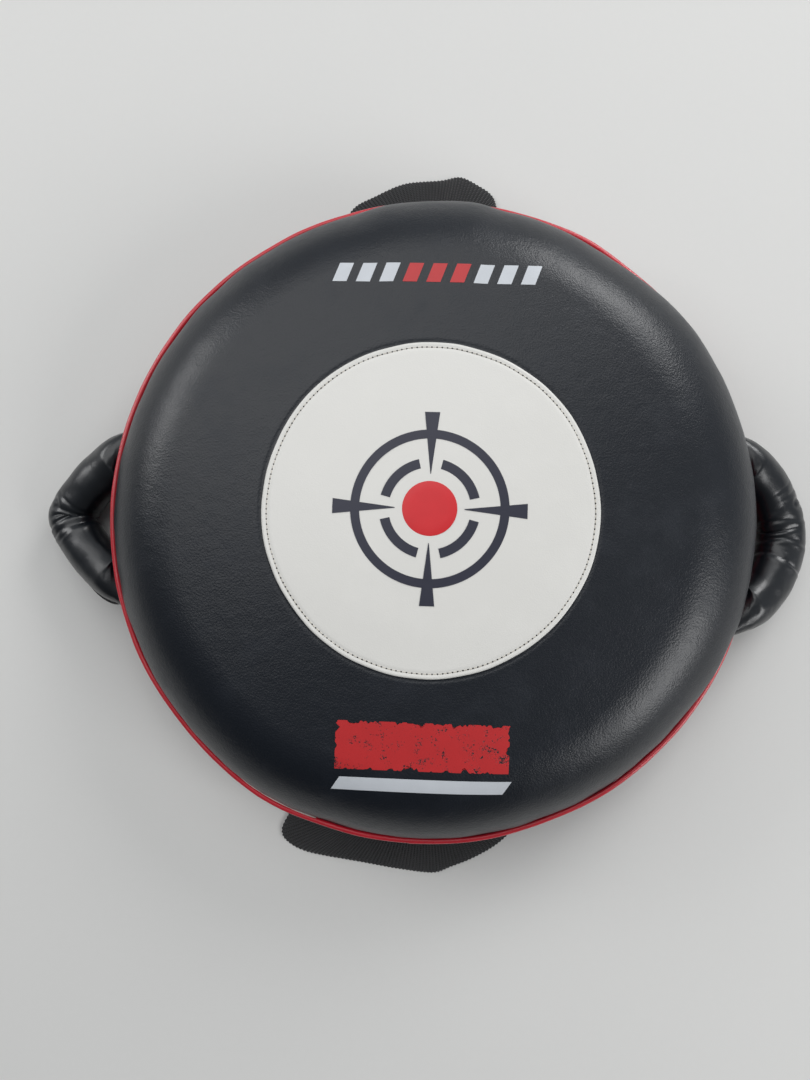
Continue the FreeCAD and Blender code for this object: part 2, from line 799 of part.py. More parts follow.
def stitched_frame(doc, name, dims, make_box):
    """Walls under a rectangular line of stitching inside a tab's edge."""
    inset = dims["tab_stitch_inset"]
    return boolean(doc, "Cut", f"{name}_frame", make_box(f"{name}_frame_outer", inset),
                   make_box(f"{name}_frame_inner", inset + dims["thread_width"]))


class Loop:
    """A webbing loop that folds about a line under the rounded back rim."""

    def __init__(self, doc, form, side):
        self.doc = doc
        self.form = form
        self.side = side
        self.sign = 1.0 if side == "top" else -1.0
        self.dims = form.dims
        self.half = form.dims["webbing_width"] / 2
        self.fold = form.dims["overall_radius"] - form.dims["loop_hinge_inset"]
        self.radius = form.dims[f"{side}_loop_radius"]
        self.reach = form.dims["overall_radius"] + form.dims[f"{side}_loop_overhang"]
        self.shift = form.dims[f"{side}_loop_shift"]

    def fold_height(self):
        """A little below the middle of the tabs, where they end at the fold line."""
        out = root(self.fold * self.fold + self.radius * self.radius)
        grown = self.form.rim + self.dims["webbing_thickness"] / 2
        run = out - self.form.flat
        return self.form.rim - root(grown * grown - run * run) - self.dims["loop_hinge_drop"]

    def droop(self):
        fall = self.fold_height() - self.dims["webbing_thickness"] / 2 - self.dims["loop_floor_gap"]
        return arcsine(fall / (self.reach - self.fold))

    def name(self, piece):
        return f"{self.side}_loop_{piece}"

    def webbing(self):
        """Flat bow of webbing, cut off at the fold line and tipped to the floor."""
        dims = self.dims
        thick = dims["webbing_thickness"]
        centre = self.reach - self.radius - self.half - self.fold
        outside = self.radius + self.half
        outer = cylinder(self.doc, self.name("outer"), outside, -(thick / 2), thick, (0.0, centre))
        inner = cylinder(self.doc, self.name("inner"), self.radius - self.half, -thick, thick * 2, (0.0, centre))
        behind = box(self.doc, self.name("behind"), (-outside, -(outside * 2), -thick),
                     (outside, dims["loop_hinge_gap"], thick))
        bow = boolean(self.doc, "Cut", self.name("bow"), outer, inner)
        loop = boolean(self.doc, "Cut", self.name("webbing"), bow, behind)
        turn = 0.0 if self.sign > 0 else 180.0
        tilt = FreeCAD.Rotation(Vector(1, 0, 0), -self.droop().number)
        loop.Placement = FreeCAD.Placement(
            Vector(self.shift.number, self.sign * self.fold.number, self.fold_height().number),
            FreeCAD.Rotation(Vector(0, 0, 1), turn) * tilt)
        return loop

    def tabs(self):
        """Webbing ends stitched under the rounded rim, and their thread."""
        dims = self.dims
        thick = dims["webbing_thickness"]
        sheet = self.form.rim_layer(self.doc, self.name("tab_sheet"), as_dim(0.0), thick)
        line = self.form.rim_layer(self.doc, self.name("thread_sheet"), thick, thick + dims["thread_thickness"])
        plates = []
        frames = []
        for end, hand in (("left", -1), ("right", 1)):
            name = self.name(end)
            plates.append(self.tab_box(f"{name}_plate", hand, as_dim(0.0)))
            frames.append(stitched_frame(self.doc, name, dims,
                                         lambda label, inset, side=hand: self.tab_box(label, side, inset)))
        tab = boolean(self.doc, "Common", self.name("tabs"), sheet, fused(self.doc, self.name("plates"), plates))
        thread = boolean(self.doc, "Common", self.name("tab_thread"),
                         line, fused(self.doc, self.name("frames"), frames))
        return [tab, thread]

    def tab_box(self, label, hand, inset):
        """A box through a tab, its sides standing in by the inset."""
        dims = self.dims
        inner, outer = self.radius - self.half + inset, self.radius + self.half - inset
        near = self.fold - dims["loop_tab_length"] + inset
        far = self.fold - inset
        low = -dims["webbing_thickness"]
        high = dims["back_seam_height"]
        span_x = (inner, outer) if hand > 0 else (-outer, -inner)
        span_x = tuple(self.shift + side for side in span_x)
        span_y = (near, far) if self.sign > 0 else (-far, -near)
        return box(self.doc, label, (span_x[0], span_y[0], low), (span_x[1], span_y[1], high))


def check(doc, nodes):
    """Stop on a failed object or on a node without a sound solid."""
    for item in doc.Objects:
        if {"Invalid", "Error"} & set(item.State):
            raise RuntimeError(f"{item.Label} failed: {item.State}")
    for node in nodes:
        shape = node.Shape
        if shape.isNull() or not shape.isValid() or not shape.Solids:
            raise RuntimeError(f"{node.Label} has no sound solid")


def main():
    doc = FreeCAD.newDocument("RoundShield")
    dims = make_sheet(doc)
    form = ShieldForm(dims)
    nodes = [front_cover(doc, form), side_gusset(doc, form), back_cover(doc, form)]
    nodes += piping(doc, form, "front", form.front_radius, form.front_seam)
    nodes += piping(doc, form, "back", form.back_radius, form.back_seam)
    nodes += stuffing(doc, form)
    nodes += target(doc, form)
    nodes += prints(doc, form)
    for side in ("left", "right"):
        grip = Grip(doc, form, side)
        nodes += grip.build() + grip.tabs(form)
        print(f"{side} grip hinge: x {grip.sign * grip.hinge_x:.3f}, z {grip.hinge_z:.3f}")
    for side in ("top", "bottom"):
        loop = Loop(doc, form, side)
        nodes += [loop.webbing()] + loop.tabs()
        print(f"{side} loop hinge: y {loop.sign * loop.fold.number:.3f}, z {loop.fold_height().number:.3f}")
    doc.recompute()
    check(doc, nodes)
    os.makedirs("parts", exist_ok=True)
    for node in nodes:
        node.Shape.exportStep(f"parts/{node.Label}.step")
        size = node.Shape.BoundBox
        print(f"{node.Label}: {len(node.Shape.Solids)} solids, {node.Shape.Volume / 1000:.2f} cm3, "
              f"x {size.XMin:.1f} {size.XMax:.1f}  y {size.YMin:.1f} {size.YMax:.1f}  "
              f"z {size.ZMin:.2f} {size.ZMax:.2f}")


main()
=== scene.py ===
"""Looks of a round strike shield: a stuffed leather disc with a sewn target patch,
red piping, two padded side grips and two webbing loops.

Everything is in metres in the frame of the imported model: +Z is the outward normal
of the strike face, the loops lie at +Y and -Y and the grips at +X and -X.
"""
import json
import logging
import math
from dataclasses import dataclass
from enum import Enum

import bpy
import numpy as np
from mathutils import Euler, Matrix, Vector


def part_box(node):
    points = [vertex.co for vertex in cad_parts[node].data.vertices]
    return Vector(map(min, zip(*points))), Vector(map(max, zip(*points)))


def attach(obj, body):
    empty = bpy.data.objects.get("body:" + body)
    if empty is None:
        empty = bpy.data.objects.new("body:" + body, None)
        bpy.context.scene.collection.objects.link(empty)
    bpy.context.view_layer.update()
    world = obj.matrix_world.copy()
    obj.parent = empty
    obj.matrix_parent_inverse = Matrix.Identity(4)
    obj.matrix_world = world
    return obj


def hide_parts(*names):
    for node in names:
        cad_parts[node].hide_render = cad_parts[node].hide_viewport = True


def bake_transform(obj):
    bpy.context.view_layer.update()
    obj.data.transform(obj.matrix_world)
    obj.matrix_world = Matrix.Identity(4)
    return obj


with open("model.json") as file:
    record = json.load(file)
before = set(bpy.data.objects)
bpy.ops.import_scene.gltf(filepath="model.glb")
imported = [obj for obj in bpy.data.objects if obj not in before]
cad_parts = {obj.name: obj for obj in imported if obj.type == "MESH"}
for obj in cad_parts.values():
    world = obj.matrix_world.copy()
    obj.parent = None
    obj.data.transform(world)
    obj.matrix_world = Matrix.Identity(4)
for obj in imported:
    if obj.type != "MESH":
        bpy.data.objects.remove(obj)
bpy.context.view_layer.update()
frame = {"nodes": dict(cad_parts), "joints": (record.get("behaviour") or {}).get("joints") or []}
LOG = logging.getLogger("shield")
MM = 0.001
JOINTS = {joint["name"]: joint for joint in frame["joints"]}


class Side(Enum):
    """Which side grip: its name and the sign of X on its side."""

    LEFT = ("left", -1.0)
    RIGHT = ("right", 1.0)


class Ends(Enum):
    """How the first and last ring of a loft are closed."""

    POLES = "poles"
    STRIP = "strip"
    LOOP = "loop"


# ---------------------------------------------------------------- surfaces

def smooth_step(low: float, high: float, values: np.ndarray) -> np.ndarray:
    """0 below low, 1 above high, and 3t^2 - 2t^3 between them."""
    t = np.clip((values - low) / (high - low), 0, 1)
    return t * t * (3 - 2 * t)


def bell(values: np.ndarray, middle: float, width: float) -> np.ndarray:
    """exp(-((v - middle) / width)^2)."""
    return np.exp(-((values - middle) / width) ** 2)


def turn_bell(azimuth: np.ndarray, middle: float, width: float) -> np.ndarray:
    """A bell over the shortest turn from a middle azimuth, all in degrees."""
    away = (np.degrees(azimuth) - middle + 180) % 360 - 180
    return np.exp(-(away / width) ** 2)


def unit(vectors: np.ndarray) -> np.ndarray:
    """Vectors of length 1 along the last axis."""
    return vectors / np.maximum(np.linalg.norm(vectors, axis=-1, keepdims=True), 1e-12)


@dataclass(frozen=True)
class Ripple:
    """Seeded smooth waviness: the sum of plane waves of about one length in random directions."""

    seed: int
    length: float
    waves: int = 16

    def at(self, points: np.ndarray) -> np.ndarray:
        """Height at each point, with a spread of about 1."""
        draw = np.random.default_rng(self.seed)
        directions = unit(draw.normal(size=(self.waves, 3)))
        lengths = self.length * draw.uniform(0.75, 1.4, self.waves)
        phases = draw.uniform(0, 2 * math.pi, self.waves)
        total = np.zeros(points.shape[:-1])
        for direction, length, phase in zip(directions, lengths, phases):
            total += np.sin(points @ direction * (2 * math.pi / length) + phase)
        return total / math.sqrt(self.waves / 2)


def loft_faces(rows: int, columns: int, ends: Ends) -> tuple[np.ndarray, np.ndarray]:
    """Quads between the closed rings of a rows x columns grid, and the faces that close its ends.

    Args:
        rows: number of rings.
        columns: points in each ring.
        ends: poles add a fan to a point after the grid's own, a strip joins a ring to itself
            across, and a loop joins the last ring to the first.

    Returns:
        The quads and the triangles, as arrays of point numbers.
    """
    steps = rows if ends is Ends.LOOP else rows - 1
    i, j = np.meshgrid(np.arange(steps), np.arange(columns), indexing="ij")
    above, beside = (i + 1) % rows, (j + 1) % columns
    quads = np.stack([i * columns + j, i * columns + beside,
                      above * columns + beside, above * columns + j], -1).reshape(-1, 4)
    triangles = np.zeros((0, 3), int)
    last = (rows - 1) * columns
    if ends is Ends.POLES:
        ring = np.arange(columns)
        following = (ring + 1) % columns
        first_pole = np.full(columns, rows * columns)
        triangles = np.concatenate([np.stack([following, ring, first_pole], -1),
                                    np.stack([last + ring, last + following, first_pole + 1], -1)])
    if ends is Ends.STRIP:
        ring = np.arange(columns // 2 - 1)
        start = np.stack([ring + 1, ring, columns - 1 - ring, columns - 2 - ring], -1)
        quads = np.concatenate([quads, start, last + start[:, ::-1]])
    return quads, triangles


def new_piece(name: str, points: np.ndarray, quads: np.ndarray, triangles: np.ndarray,
              finish: bpy.types.Material, sharp: float = 50.0) -> bpy.types.Object:
    """A closed mesh turned outwards: its faces are reversed where its signed volume is negative."""
    corners = np.concatenate([quads[:, [0, 1, 2]], quads[:, [0, 2, 3]], triangles])
    a, b, c = (points[corners[:, k]] for k in range(3))
    if np.einsum("ij,ij->i", a, np.cross(b, c)).sum() < 0:
        quads, triangles = quads[:, ::-1], triangles[:, ::-1]
    mesh = bpy.data.meshes.new(name)
    mesh.from_pydata(points.tolist(), [], quads.tolist() + triangles.tolist())
    mesh.polygons.foreach_set("use_smooth", np.ones(len(mesh.polygons), bool))
    mesh.set_sharp_from_angle(angle=math.radians(sharp))
    mesh.materials.append(finish)
    piece = bpy.data.objects.new(name, mesh)
    bpy.context.scene.collection.objects.link(piece)
    LOG.info("%s: %d points, %d faces", name, len(points), len(mesh.polygons))
    return piece


def loft(name: str, rings: np.ndarray, ends: Ends, finish: bpy.types.Material,
         sharp: float = 50.0) -> bpy.types.Object:
    """A closed skin over rings x columns x 3 points; a pole stands at the mean of its ring."""
    rows, columns = rings.shape[:2]
    points = rings.reshape(-1, 3)
    if ends is Ends.POLES:
        points = np.concatenate([points, rings[:1].mean(1), rings[-1:].mean(1)])
    return new_piece(name, points, *loft_faces(rows, columns, ends), finish, sharp)


def plate(name: str, top: np.ndarray, bottom: np.ndarray, finish: bpy.types.Material,
          ends: Ends = Ends.STRIP, sharp: float = 50.0) -> bpy.types.Object:
    """A flat solid between two grids of the same size."""
    return loft(name, np.concatenate([top, bottom[:, ::-1]], axis=1), ends, finish, sharp)


def scatter(name: str, shape: np.ndarray, origins: np.ndarray, axes: np.ndarray,
            finish: bpy.types.Material) -> bpy.types.Object:
    """Copies of one small lofted shape, each placed by an origin and three axes.

    Args:
        name: the piece's name.
        shape: the shape's rings, closed with poles.
        origins: copies x 3 places.
        axes: copies x 3 x 3, the rows being the shape's X, Y and Z.
        finish: its material.
    """
    rows, columns = shape.shape[:2]
    points = np.concatenate([shape.reshape(-1, 3), shape[:1].mean(1), shape[-1:].mean(1)])
    placed = origins[:, None] + np.einsum("pk,nkd->npd", points, axes)
    quads, triangles = loft_faces(rows, columns, Ends.POLES)
    shift = np.arange(len(origins))[:, None, None] * len(points)
    return new_piece(name, placed.reshape(-1, 3), (quads + shift).reshape(-1, 4),
                     (triangles + shift).reshape(-1, 3), finish)


def capsule(length: float, width: float, height: float, sides: int = 6) -> np.ndarray:
    """Rings of a small rounded bar along X: its section shrinks as the root of 1 - x^2 at its ends."""
    along = np.array([-0.98, -0.75, -0.3, 0.3, 0.75, 0.98])
    size = np.sqrt(1 - np.abs(along) ** 3)
    angle = np.arange(sides) * 2 * math.pi / sides
    ring = np.stack([np.zeros(sides), np.cos(angle) * width / 2, np.sin(angle) * height / 2], -1)
    rings = ring[None] * size[:, None, None]
    rings[..., 0] = along[:, None] * length / 2
    return rings


# ---------------------------------------------------------------- finishes

class Value:
    """A socket of a node graph; an expression on values adds its Math nodes."""

    def __init__(self, graph: "Graph", socket: bpy.types.NodeSocket) -> None:
        """Wraps one output socket."""
        self.graph = graph
        self.socket = socket

    def __add__(self, other):
        """Sum."""
        return self.graph.maths("ADD", self, other)

    def __sub__(self, other):
        """Difference."""
        return self.graph.maths("SUBTRACT", self, other)

    def __rsub__(self, other):
        """Difference from a number."""
        return self.graph.maths("SUBTRACT", other, self)

    def __mul__(self, other):
        """Product."""
        return self.graph.maths("MULTIPLY", self, other)

    __radd__ = __add__
    __rmul__ = __mul__

    def wave(self, pitch: float) -> "Value":
        """Sine of the value over a pitch in metres."""
        return self.graph.maths("SINE", self * (2 * math.pi / pitch))

    def between(self, low: float, high: float) -> "Value":
        """0 at low and 1 at high, eased and held outside them."""
        return self.graph.add("ShaderNodeMapRange", {"interpolation_type": "SMOOTHSTEP"},
                              {"Value": self, "From Min": low, "From Max": high})


class Graph:
    """The nodes of one material."""

    def __init__(self, name: str) -> None:
        """An empty node tree."""
        self.material = bpy.data.materials.new(name)
        self.material.use_nodes = True
        self.tree = self.material.node_tree
        self.tree.nodes.clear()

    def add(self, kind: str, settings: dict | None = None, inputs: dict | None = None,
            output: int | str = 0) -> Value:
        """One node.

        Args:
            kind: the node's type.
            settings: its properties, set before its sockets.
            inputs: a number, colour or Value for each socket, by name or place.
            output: which output to hand back.

        Returns:
            The chosen output.
        """
        node = self.tree.nodes.new(kind)
        for key, setting in (settings or {}).items():
            setattr(node, key, setting)
        for key, given in (inputs or {}).items():
            if isinstance(given, Value):
                self.tree.links.new(given.socket, node.inputs[key])
            else:
                node.inputs[key].default_value = given
        return Value(self, node.outputs[output])

    def maths(self, operation: str, *values) -> Value:
        """A Math node over numbers and values."""
        return self.add("ShaderNodeMath", {"operation": operation}, dict(enumerate(values)))

    def place(self) -> Value:
        """Object coordinates."""
        return self.add("ShaderNodeTexCoord", output="Object")

    def noise(self, size: float, detail: float = 3.0, rough: float = 0.5) -> Value:
        """Noise from 0 to 1 whose lumps are about size metres."""
        inputs = {"Vector": self.place(), "Scale": 1 / size, "Detail": detail, "Roughness": rough}
        return self.add("ShaderNodeTexNoise", {}, inputs, "Fac")

    def pebbles(self, size: float) -> Value:
        """Distance from the middle of random cells about size metres across."""
        return self.add("ShaderNodeTexVoronoi", {"feature": "SMOOTH_F1"},
                        {"Vector": self.place(), "Scale": 1 / size, "Smoothness": 0.6}, "Distance")

    def attribute(self, name: str) -> list[Value]:
        """The three parts of a vector attribute."""
        vector = self.add("ShaderNodeAttribute", {"attribute_name": name}, output="Vector")
        return [self.add("ShaderNodeSeparateXYZ", {}, {0: vector}, part) for part in range(3)]

    def mix(self, factor, first, second) -> Value:
        """Colour from first to second."""
        return self.add("ShaderNodeMix", {"data_type": "RGBA"}, {0: factor, 6: first, 7: second}, 2)

    def finish(self, height: Value, relief: float, **surface) -> bpy.types.Material:
        """Closes the graph with a Principled surface and a bump of the given relief in metres."""
        bump = self.add("ShaderNodeBump", {}, {"Height": height, "Distance": relief})
        inputs = {name.replace("_", " "): given for name, given in surface.items()}
        shader = self.add("ShaderNodeBsdfPrincipled", {}, {**inputs, "Normal": bump})
        self.add_output(shader)
        return self.material

    def add_output(self, shader: Value) -> None:
        """Links the surface to the material's output."""
        node = self.tree.nodes.new("ShaderNodeOutputMaterial")
        self.tree.links.new(shader.socket, node.inputs["Surface"])


Colour = tuple[float, float, float]


def opaque(colour: Colour, share: float = 1.0) -> tuple[float, float, float, float]:
    """A colour for a socket, lightened or darkened by a share."""
    return tuple(part * share for part in colour) + (1.0,)


@dataclass(frozen=True)
class Leather:
    """Synthetic leather: a pressed pebble grain, fine pores and a little wear."""

    name: str
    colour: Colour
    roughness: float = 0.42
    grain: float = 1.3 * MM
    relief: float = 0.10 * MM
    haze: float = 1.5
    coat: float = 0.0
    coat_roughness: float = 0.2

    def build(self) -> bpy.types.Material:
        """Grain height from pebbles and pores; haze lightens the colour in broad patches."""
        graph = Graph(self.name)
        pebbles = graph.pebbles(self.grain)
        pores = graph.noise(self.grain * 0.35, 2.0)
        scuffs = graph.noise(30 * MM, 5.0, 0.6).between(0.45, 0.75)
        height = pebbles * 0.8 + pores * 0.35 + graph.noise(9 * MM, 3.0) * 1.6
        colour = graph.mix(scuffs * 0.5 + pebbles * 0.3, opaque(self.colour),
                           opaque(self.colour, self.haze))
        rough = pebbles * 0.06 + scuffs * 0.07 + (self.roughness - 0.04)
        return graph.finish(height, self.relief, Base_Color=colour, Roughness=rough,
                            Coat_Weight=self.coat, Coat_Roughness=self.coat_roughness)


@dataclass(frozen=True)
class Ink:
    """Screen-printed ink, cracked and rubbed through to what it is printed on where it is worn."""

    name: str
    colour: Colour
    ground: Colour
    wear: float = 0.0

    def build(self) -> bpy.types.Material:
        """The worn share grows with wear: noise above a threshold shows the ground."""
        graph = Graph(self.name)
        spots = graph.noise(1.6 * MM, 6.0, 0.7) * 0.55 + graph.noise(9 * MM, 4.0) * 0.45
        edge = 0.72 - 0.22 * self.wear
        worn = spots.between(edge, edge + 0.05)
        tone = graph.mix(graph.noise(14 * MM, 3.0), opaque(self.colour), opaque(self.colour, 0.86))
        colour = graph.mix(worn * min(1.0, self.wear * 1.5), tone, opaque(self.ground))
        height = graph.noise(0.6 * MM, 3.0) - worn
        return graph.finish(height, 0.04 * MM, Base_Color=colour, Roughness=worn * 0.1 + 0.4)


@dataclass(frozen=True)
class Webbing:
    """Heavy woven strap: ribs across the width, crossed by fine warp columns."""

    name: str
    colour: Colour
    rib: float = 2.4 * MM
    warp: float = 1.5 * MM

    def build(self) -> bpy.types.Material:
        """Height = |sin| of the ribs plus the columns, which shift by half a rib each. The colour follows
        the same relief: painted highlight on the crests, painted shade between them, over random fuzz tone.
        """
        graph = Graph(self.name)
        across, along, _ = graph.attribute("weave")
        columns = across.wave(self.warp)
        ribs = (along + columns * (self.rib * 0.12)).wave(self.rib)
        fuzz = graph.noise(0.35 * MM, 3.0, 0.6)
        height = ribs * 0.5 + columns * 0.28 + fuzz * 0.5
        # painted light: lighter on the rib and column crests as painted highlight, darker between them as
        # painted shade; the fuzz adds random tone
        light = (ribs * 0.25 + columns * 0.12 + fuzz).between(0.3, 1.0)
        colour = graph.mix(light, opaque(self.colour, 0.6), opaque(self.colour, 2.4))
        return graph.finish(height, 0.35 * MM, Base_Color=colour, Roughness=0.86, Sheen_Weight=0.25,
                            Sheen_Roughness=0.5)


@dataclass(frozen=True)
class Grainy:
    """A plain material with a fine grain: thread, foam, gel, cord, cut edges and the floor."""

    name: str
    colour: Colour
    roughness: float
    grain: float
    relief: float
    spread: float = 0.8
    coat: float = 0.0

    def build(self) -> bpy.types.Material:
        """Two sizes of noise for height and tone."""
        graph = Graph(self.name)
        fine = graph.noise(self.grain, 3.0)
        broad = graph.noise(self.grain * 9, 3.0)
        colour = graph.mix(fine * 0.6 + broad * 0.4, opaque(self.colour, self.spread), opaque(self.colour))
        return graph.finish(fine, self.relief, Base_Color=colour, Roughness=self.roughness,
                            Coat_Weight=self.coat, Coat_Roughness=0.12)


BLACK = (0.0020, 0.0038, 0.0075)
OFF_WHITE = (0.635, 0.625, 0.595)


class Finishes:
    """Every material, built once."""

    def __init__(self) -> None:
        """Builds the finishes."""
        self.cover = Leather("cover_leather", BLACK, roughness=0.37, relief=0.16 * MM).build()
        self.patch = Leather("patch_leather", OFF_WHITE, roughness=0.36, grain=0.9 * MM, relief=0.05 * MM,
                             haze=1.04).build()
        self.grip = Leather("grip_leather", (0.0022, 0.0034, 0.0055), roughness=0.33, grain=1.1 * MM,
                            relief=0.05 * MM, coat=0.22, coat_roughness=0.26).build()
        self.piping = Leather("red_piping", (0.46, 0.010, 0.022), roughness=0.30, grain=0.8 * MM,
                              relief=0.04 * MM, haze=1.15, coat=0.4, coat_roughness=0.15).build()
        self.navy = Ink("navy_ink", (0.020, 0.021, 0.038), OFF_WHITE).build()
        self.bull_red = Ink("bullseye_ink", (0.59, 0.015, 0.021), OFF_WHITE).build()
        self.band_red = Ink("band_ink", (0.46, 0.018, 0.020), BLACK, wear=0.75).build()
        self.stripe_red = Ink("stripe_ink", (0.46, 0.019, 0.022), BLACK, wear=0.2).build()
        self.white = Ink("white_ink", (0.54, 0.565, 0.60), BLACK, wear=0.15).build()
        self.webbing = Webbing("black_webbing", (0.010, 0.010, 0.011)).build()
        self.cut_edge = Grainy("cut_edge", (0.30, 0.26, 0.22), 0.8, 0.5 * MM, 0.1 * MM).build()
        self.pale_thread = Grainy("pale_thread", (0.56, 0.52, 0.45), 0.6, 0.3 * MM, 0.08 * MM).build()
        self.black_thread = Grainy("black_thread", (0.018, 0.018, 0.020), 0.55, 0.3 * MM, 0.08 * MM).build()
        # dark dots of painted shade, standing for the shade in the needle holes
        self.needle_shade = Grainy("needle_shade_dot", (0.022, 0.018, 0.015), 0.9, 0.4 * MM, 0.05 * MM).build()
        self.cord = Grainy("piping_cord", (0.62, 0.60, 0.55), 0.8, 0.5 * MM, 0.15 * MM).build()
        self.gel = Grainy("gel_sheet", (0.10, 0.22, 0.42), 0.22, 4 * MM, 0.2 * MM, coat=0.5).build()
        self.firm_foam = Grainy("firm_foam", (0.16, 0.16, 0.17), 0.85, 0.8 * MM, 0.25 * MM).build()
        self.soft_foam = Grainy("soft_foam", (0.55, 0.52, 0.42), 0.9, 1.2 * MM, 0.4 * MM).build()
        self.floor = Grainy("pale_floor", (0.61, 0.605, 0.59), 0.75, 6 * MM, 0.02 * MM, spread=0.97).build()


# ---------------------------------------------------------------- the disc

@dataclass
class PadForm:
    """Outline of the stuffed disc: a shallow dome, a round shoulder, a leaning side and a rolled rim."""

    dome: float = 2.5
    shoulder: float = 68 * MM
    wall: float = 1.2 * MM
    tuck: float = 10 * MM
    flat: float = 165 * MM
    print_turn: float = math.radians(-0.9)

    def __post_init__(self) -> None:
        """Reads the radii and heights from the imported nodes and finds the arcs' centres."""
        cover_low, cover_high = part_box("front_cover")
        back_low, back_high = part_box("back_cover")
        side_low, side_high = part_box("side_gusset")
        pipe_low, pipe_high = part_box("front_piping")
        self.height = cover_high.z
        self.seam = cover_low.z
        self.front = side_high.x
        self.back = back_high.x
        self.back_seam = back_high.z
        self.side_low = side_low.z
        self.side_high = side_high.z
        self.pipe = (pipe_high.z - pipe_low.z) / 2
        self.pipe_heights = ((pipe_high.z + pipe_low.z) / 2, (self.side_low + self.back_seam) / 2)
        self.pipe_radii = (pipe_high.x - self.pipe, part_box("back_piping")[1].x - self.pipe)
        self.dome_centre = self.height - self.dome
        low = self.seam - self.dome_centre
        reach = self.dome - self.shoulder
        apart = math.hypot(self.front, low)
        along = (self.shoulder ** 2 - reach ** 2 + apart ** 2) / (2 * apart)
        aside = math.sqrt(self.shoulder ** 2 - along ** 2)
        inward, down = self.front / apart, low / apart
        self.turn_radius = self.front - inward * along - down * aside
        self.turn_height = self.seam - down * along + inward * aside
        self.edge = self.dome * self.turn_radius / reach
        span = self.back - self.flat
        self.rim = (span ** 2 + self.back_seam ** 2) / (2 * self.back_seam)

    def wobble(self, azimuth: np.ndarray) -> np.ndarray:
        """How far the hand-sewn outline strays from a circle."""
        return MM * (1.8 * turn_bell(azimuth, 64, 13) + 1.9 * turn_bell(azimuth, 240, 10)
                     - 1.0 * turn_bell(azimuth, 293, 9) - 0.7 * turn_bell(azimuth, 126, 12)
                     - 0.5 * turn_bell(azimuth, 32, 9))

    def overhang(self, azimuth: np.ndarray) -> np.ndarray:
        """Where the stuffing pushes the shoulder out over the piping."""
        degrees = (np.degrees(azimuth) + 180) % 360 - 180
        right = smooth_step(-42, -16, degrees) * smooth_step(60, 34, degrees)
        top = smooth_step(76, 83, degrees) * smooth_step(106, 98, degrees)
        return MM * (5.0 * right + 3.6 * top)

    def shift(self, points: np.ndarray) -> np.ndarray:
        """Soft unevenness of the stuffed cover, as a move of each point.

        Dents run along the normal and fade in from the patch; the outline's wobble and
        the overhang move the shoulder outwards; puckers die away from the seam upwards.
        """
        x, y, z = np.moveaxis(points, -1, 0)
        radius = np.hypot(x, y)
        azimuth = np.arctan2(y, x)
        outward = np.stack([x, y, np.zeros_like(x)], -1) / np.maximum(radius, 1e-9)[..., None]
        steep = smooth_step(self.edge, self.front, radius)
        around = np.stack([np.cos(azimuth), np.sin(azimuth), z * 4], -1) * self.front
        dent = Ripple(3, 130 * MM).at(points) * (0.12 + 0.30 * steep) * MM
        dent += Ripple(5, 48 * MM).at(around) * 0.16 * MM * steep
        above = np.clip(z - self.seam, 0, None)
        pucker = Ripple(7, 17 * MM).at(around * [1, 1, 0.3]) * 0.28 * MM * np.exp(-above / (6 * MM))
        pucker += Ripple(8, 38 * MM).at(around * [1, 1, 0.3]) * 0.30 * MM * np.exp(-above / (18 * MM))
        rise = np.clip(above / (self.height - self.seam), 0, 1)
        lobe = np.sin(math.pi * rise ** 0.62)
        move = self.wobble(azimuth) * smooth_step(0.14, 0.24, radius) + self.overhang(azimuth) * lobe
        move += pucker * np.minimum(rise * 12, 1) * steep
        lift = np.stack([np.zeros_like(x), np.zeros_like(x), dent * (1 - steep)], -1)
        return outward * (move + dent * steep)[..., None] + lift

    def profile(self, inset: float, radii: np.ndarray, turns: int) -> np.ndarray:
        """Radius and height along the dome and then the shoulder, inset from the outer skin."""
        face = np.stack([radii, self.dome_centre + np.sqrt((self.dome - inset) ** 2 - radii ** 2)], -1)
        lean = math.asin(self.edge / self.dome)
        end = math.acos((self.seam + inset - self.turn_height) / (self.shoulder - inset))
        angle = np.linspace(lean, end, turns)
        bend = self.shoulder - inset
        turn = np.stack([self.turn_radius + bend * np.sin(angle),
                         self.turn_height + bend * np.cos(angle)], -1)
        return np.concatenate([face[radii < self.edge - 1.5 * MM], turn])

    def revolve(self, profile: np.ndarray, columns: int) -> np.ndarray:
        """Rings about Z through each point of a radius and height profile."""
        angle = np.arange(columns) * 2 * math.pi / columns
        radius, height = profile[:, :1], profile[:, 1:]
        return np.stack([radius * np.cos(angle), radius * np.sin(angle), height + 0 * angle], -1)

    def on_face(self, flat: np.ndarray, lift: float) -> np.ndarray:
        """Points on the strike face or shoulder, above plane positions, raised along the normal."""
        radius = np.linalg.norm(flat, axis=-1)
        dome = self.dome_centre + np.sqrt(self.dome ** 2 - radius ** 2)
        out = np.clip(radius - self.turn_radius, 0, self.shoulder * 0.999)
        turn = self.turn_height + np.sqrt(self.shoulder ** 2 - out ** 2)
        on_dome = radius < self.edge
        points = np.concatenate([flat, np.where(on_dome, dome, turn)[..., None]], -1)
        up = np.concatenate([flat, (dome - self.dome_centre)[..., None]], -1) / self.dome
        aside = np.concatenate([unit(flat) * out[..., None], (turn - self.turn_height)[..., None]], -1)
        normal = np.where(on_dome[..., None], up, aside / self.shoulder)
        return points + self.shift(points) + normal * lift

    def turned(self, flat: np.ndarray) -> np.ndarray:
        """Plane positions turned with the prints, which sit a little askew."""
        cos, sin = math.cos(self.print_turn), math.sin(self.print_turn)
        x, y = flat[..., 0], flat[..., 1]
        return np.stack([x * cos - y * sin, x * sin + y * cos], -1)

    def side_radius(self, height: np.ndarray) -> np.ndarray:
        """Radius of the side wall, straight between its seams."""
        share = (height - self.side_low) / (self.side_high - self.side_low)
        return self.back + (self.front - self.back) * share

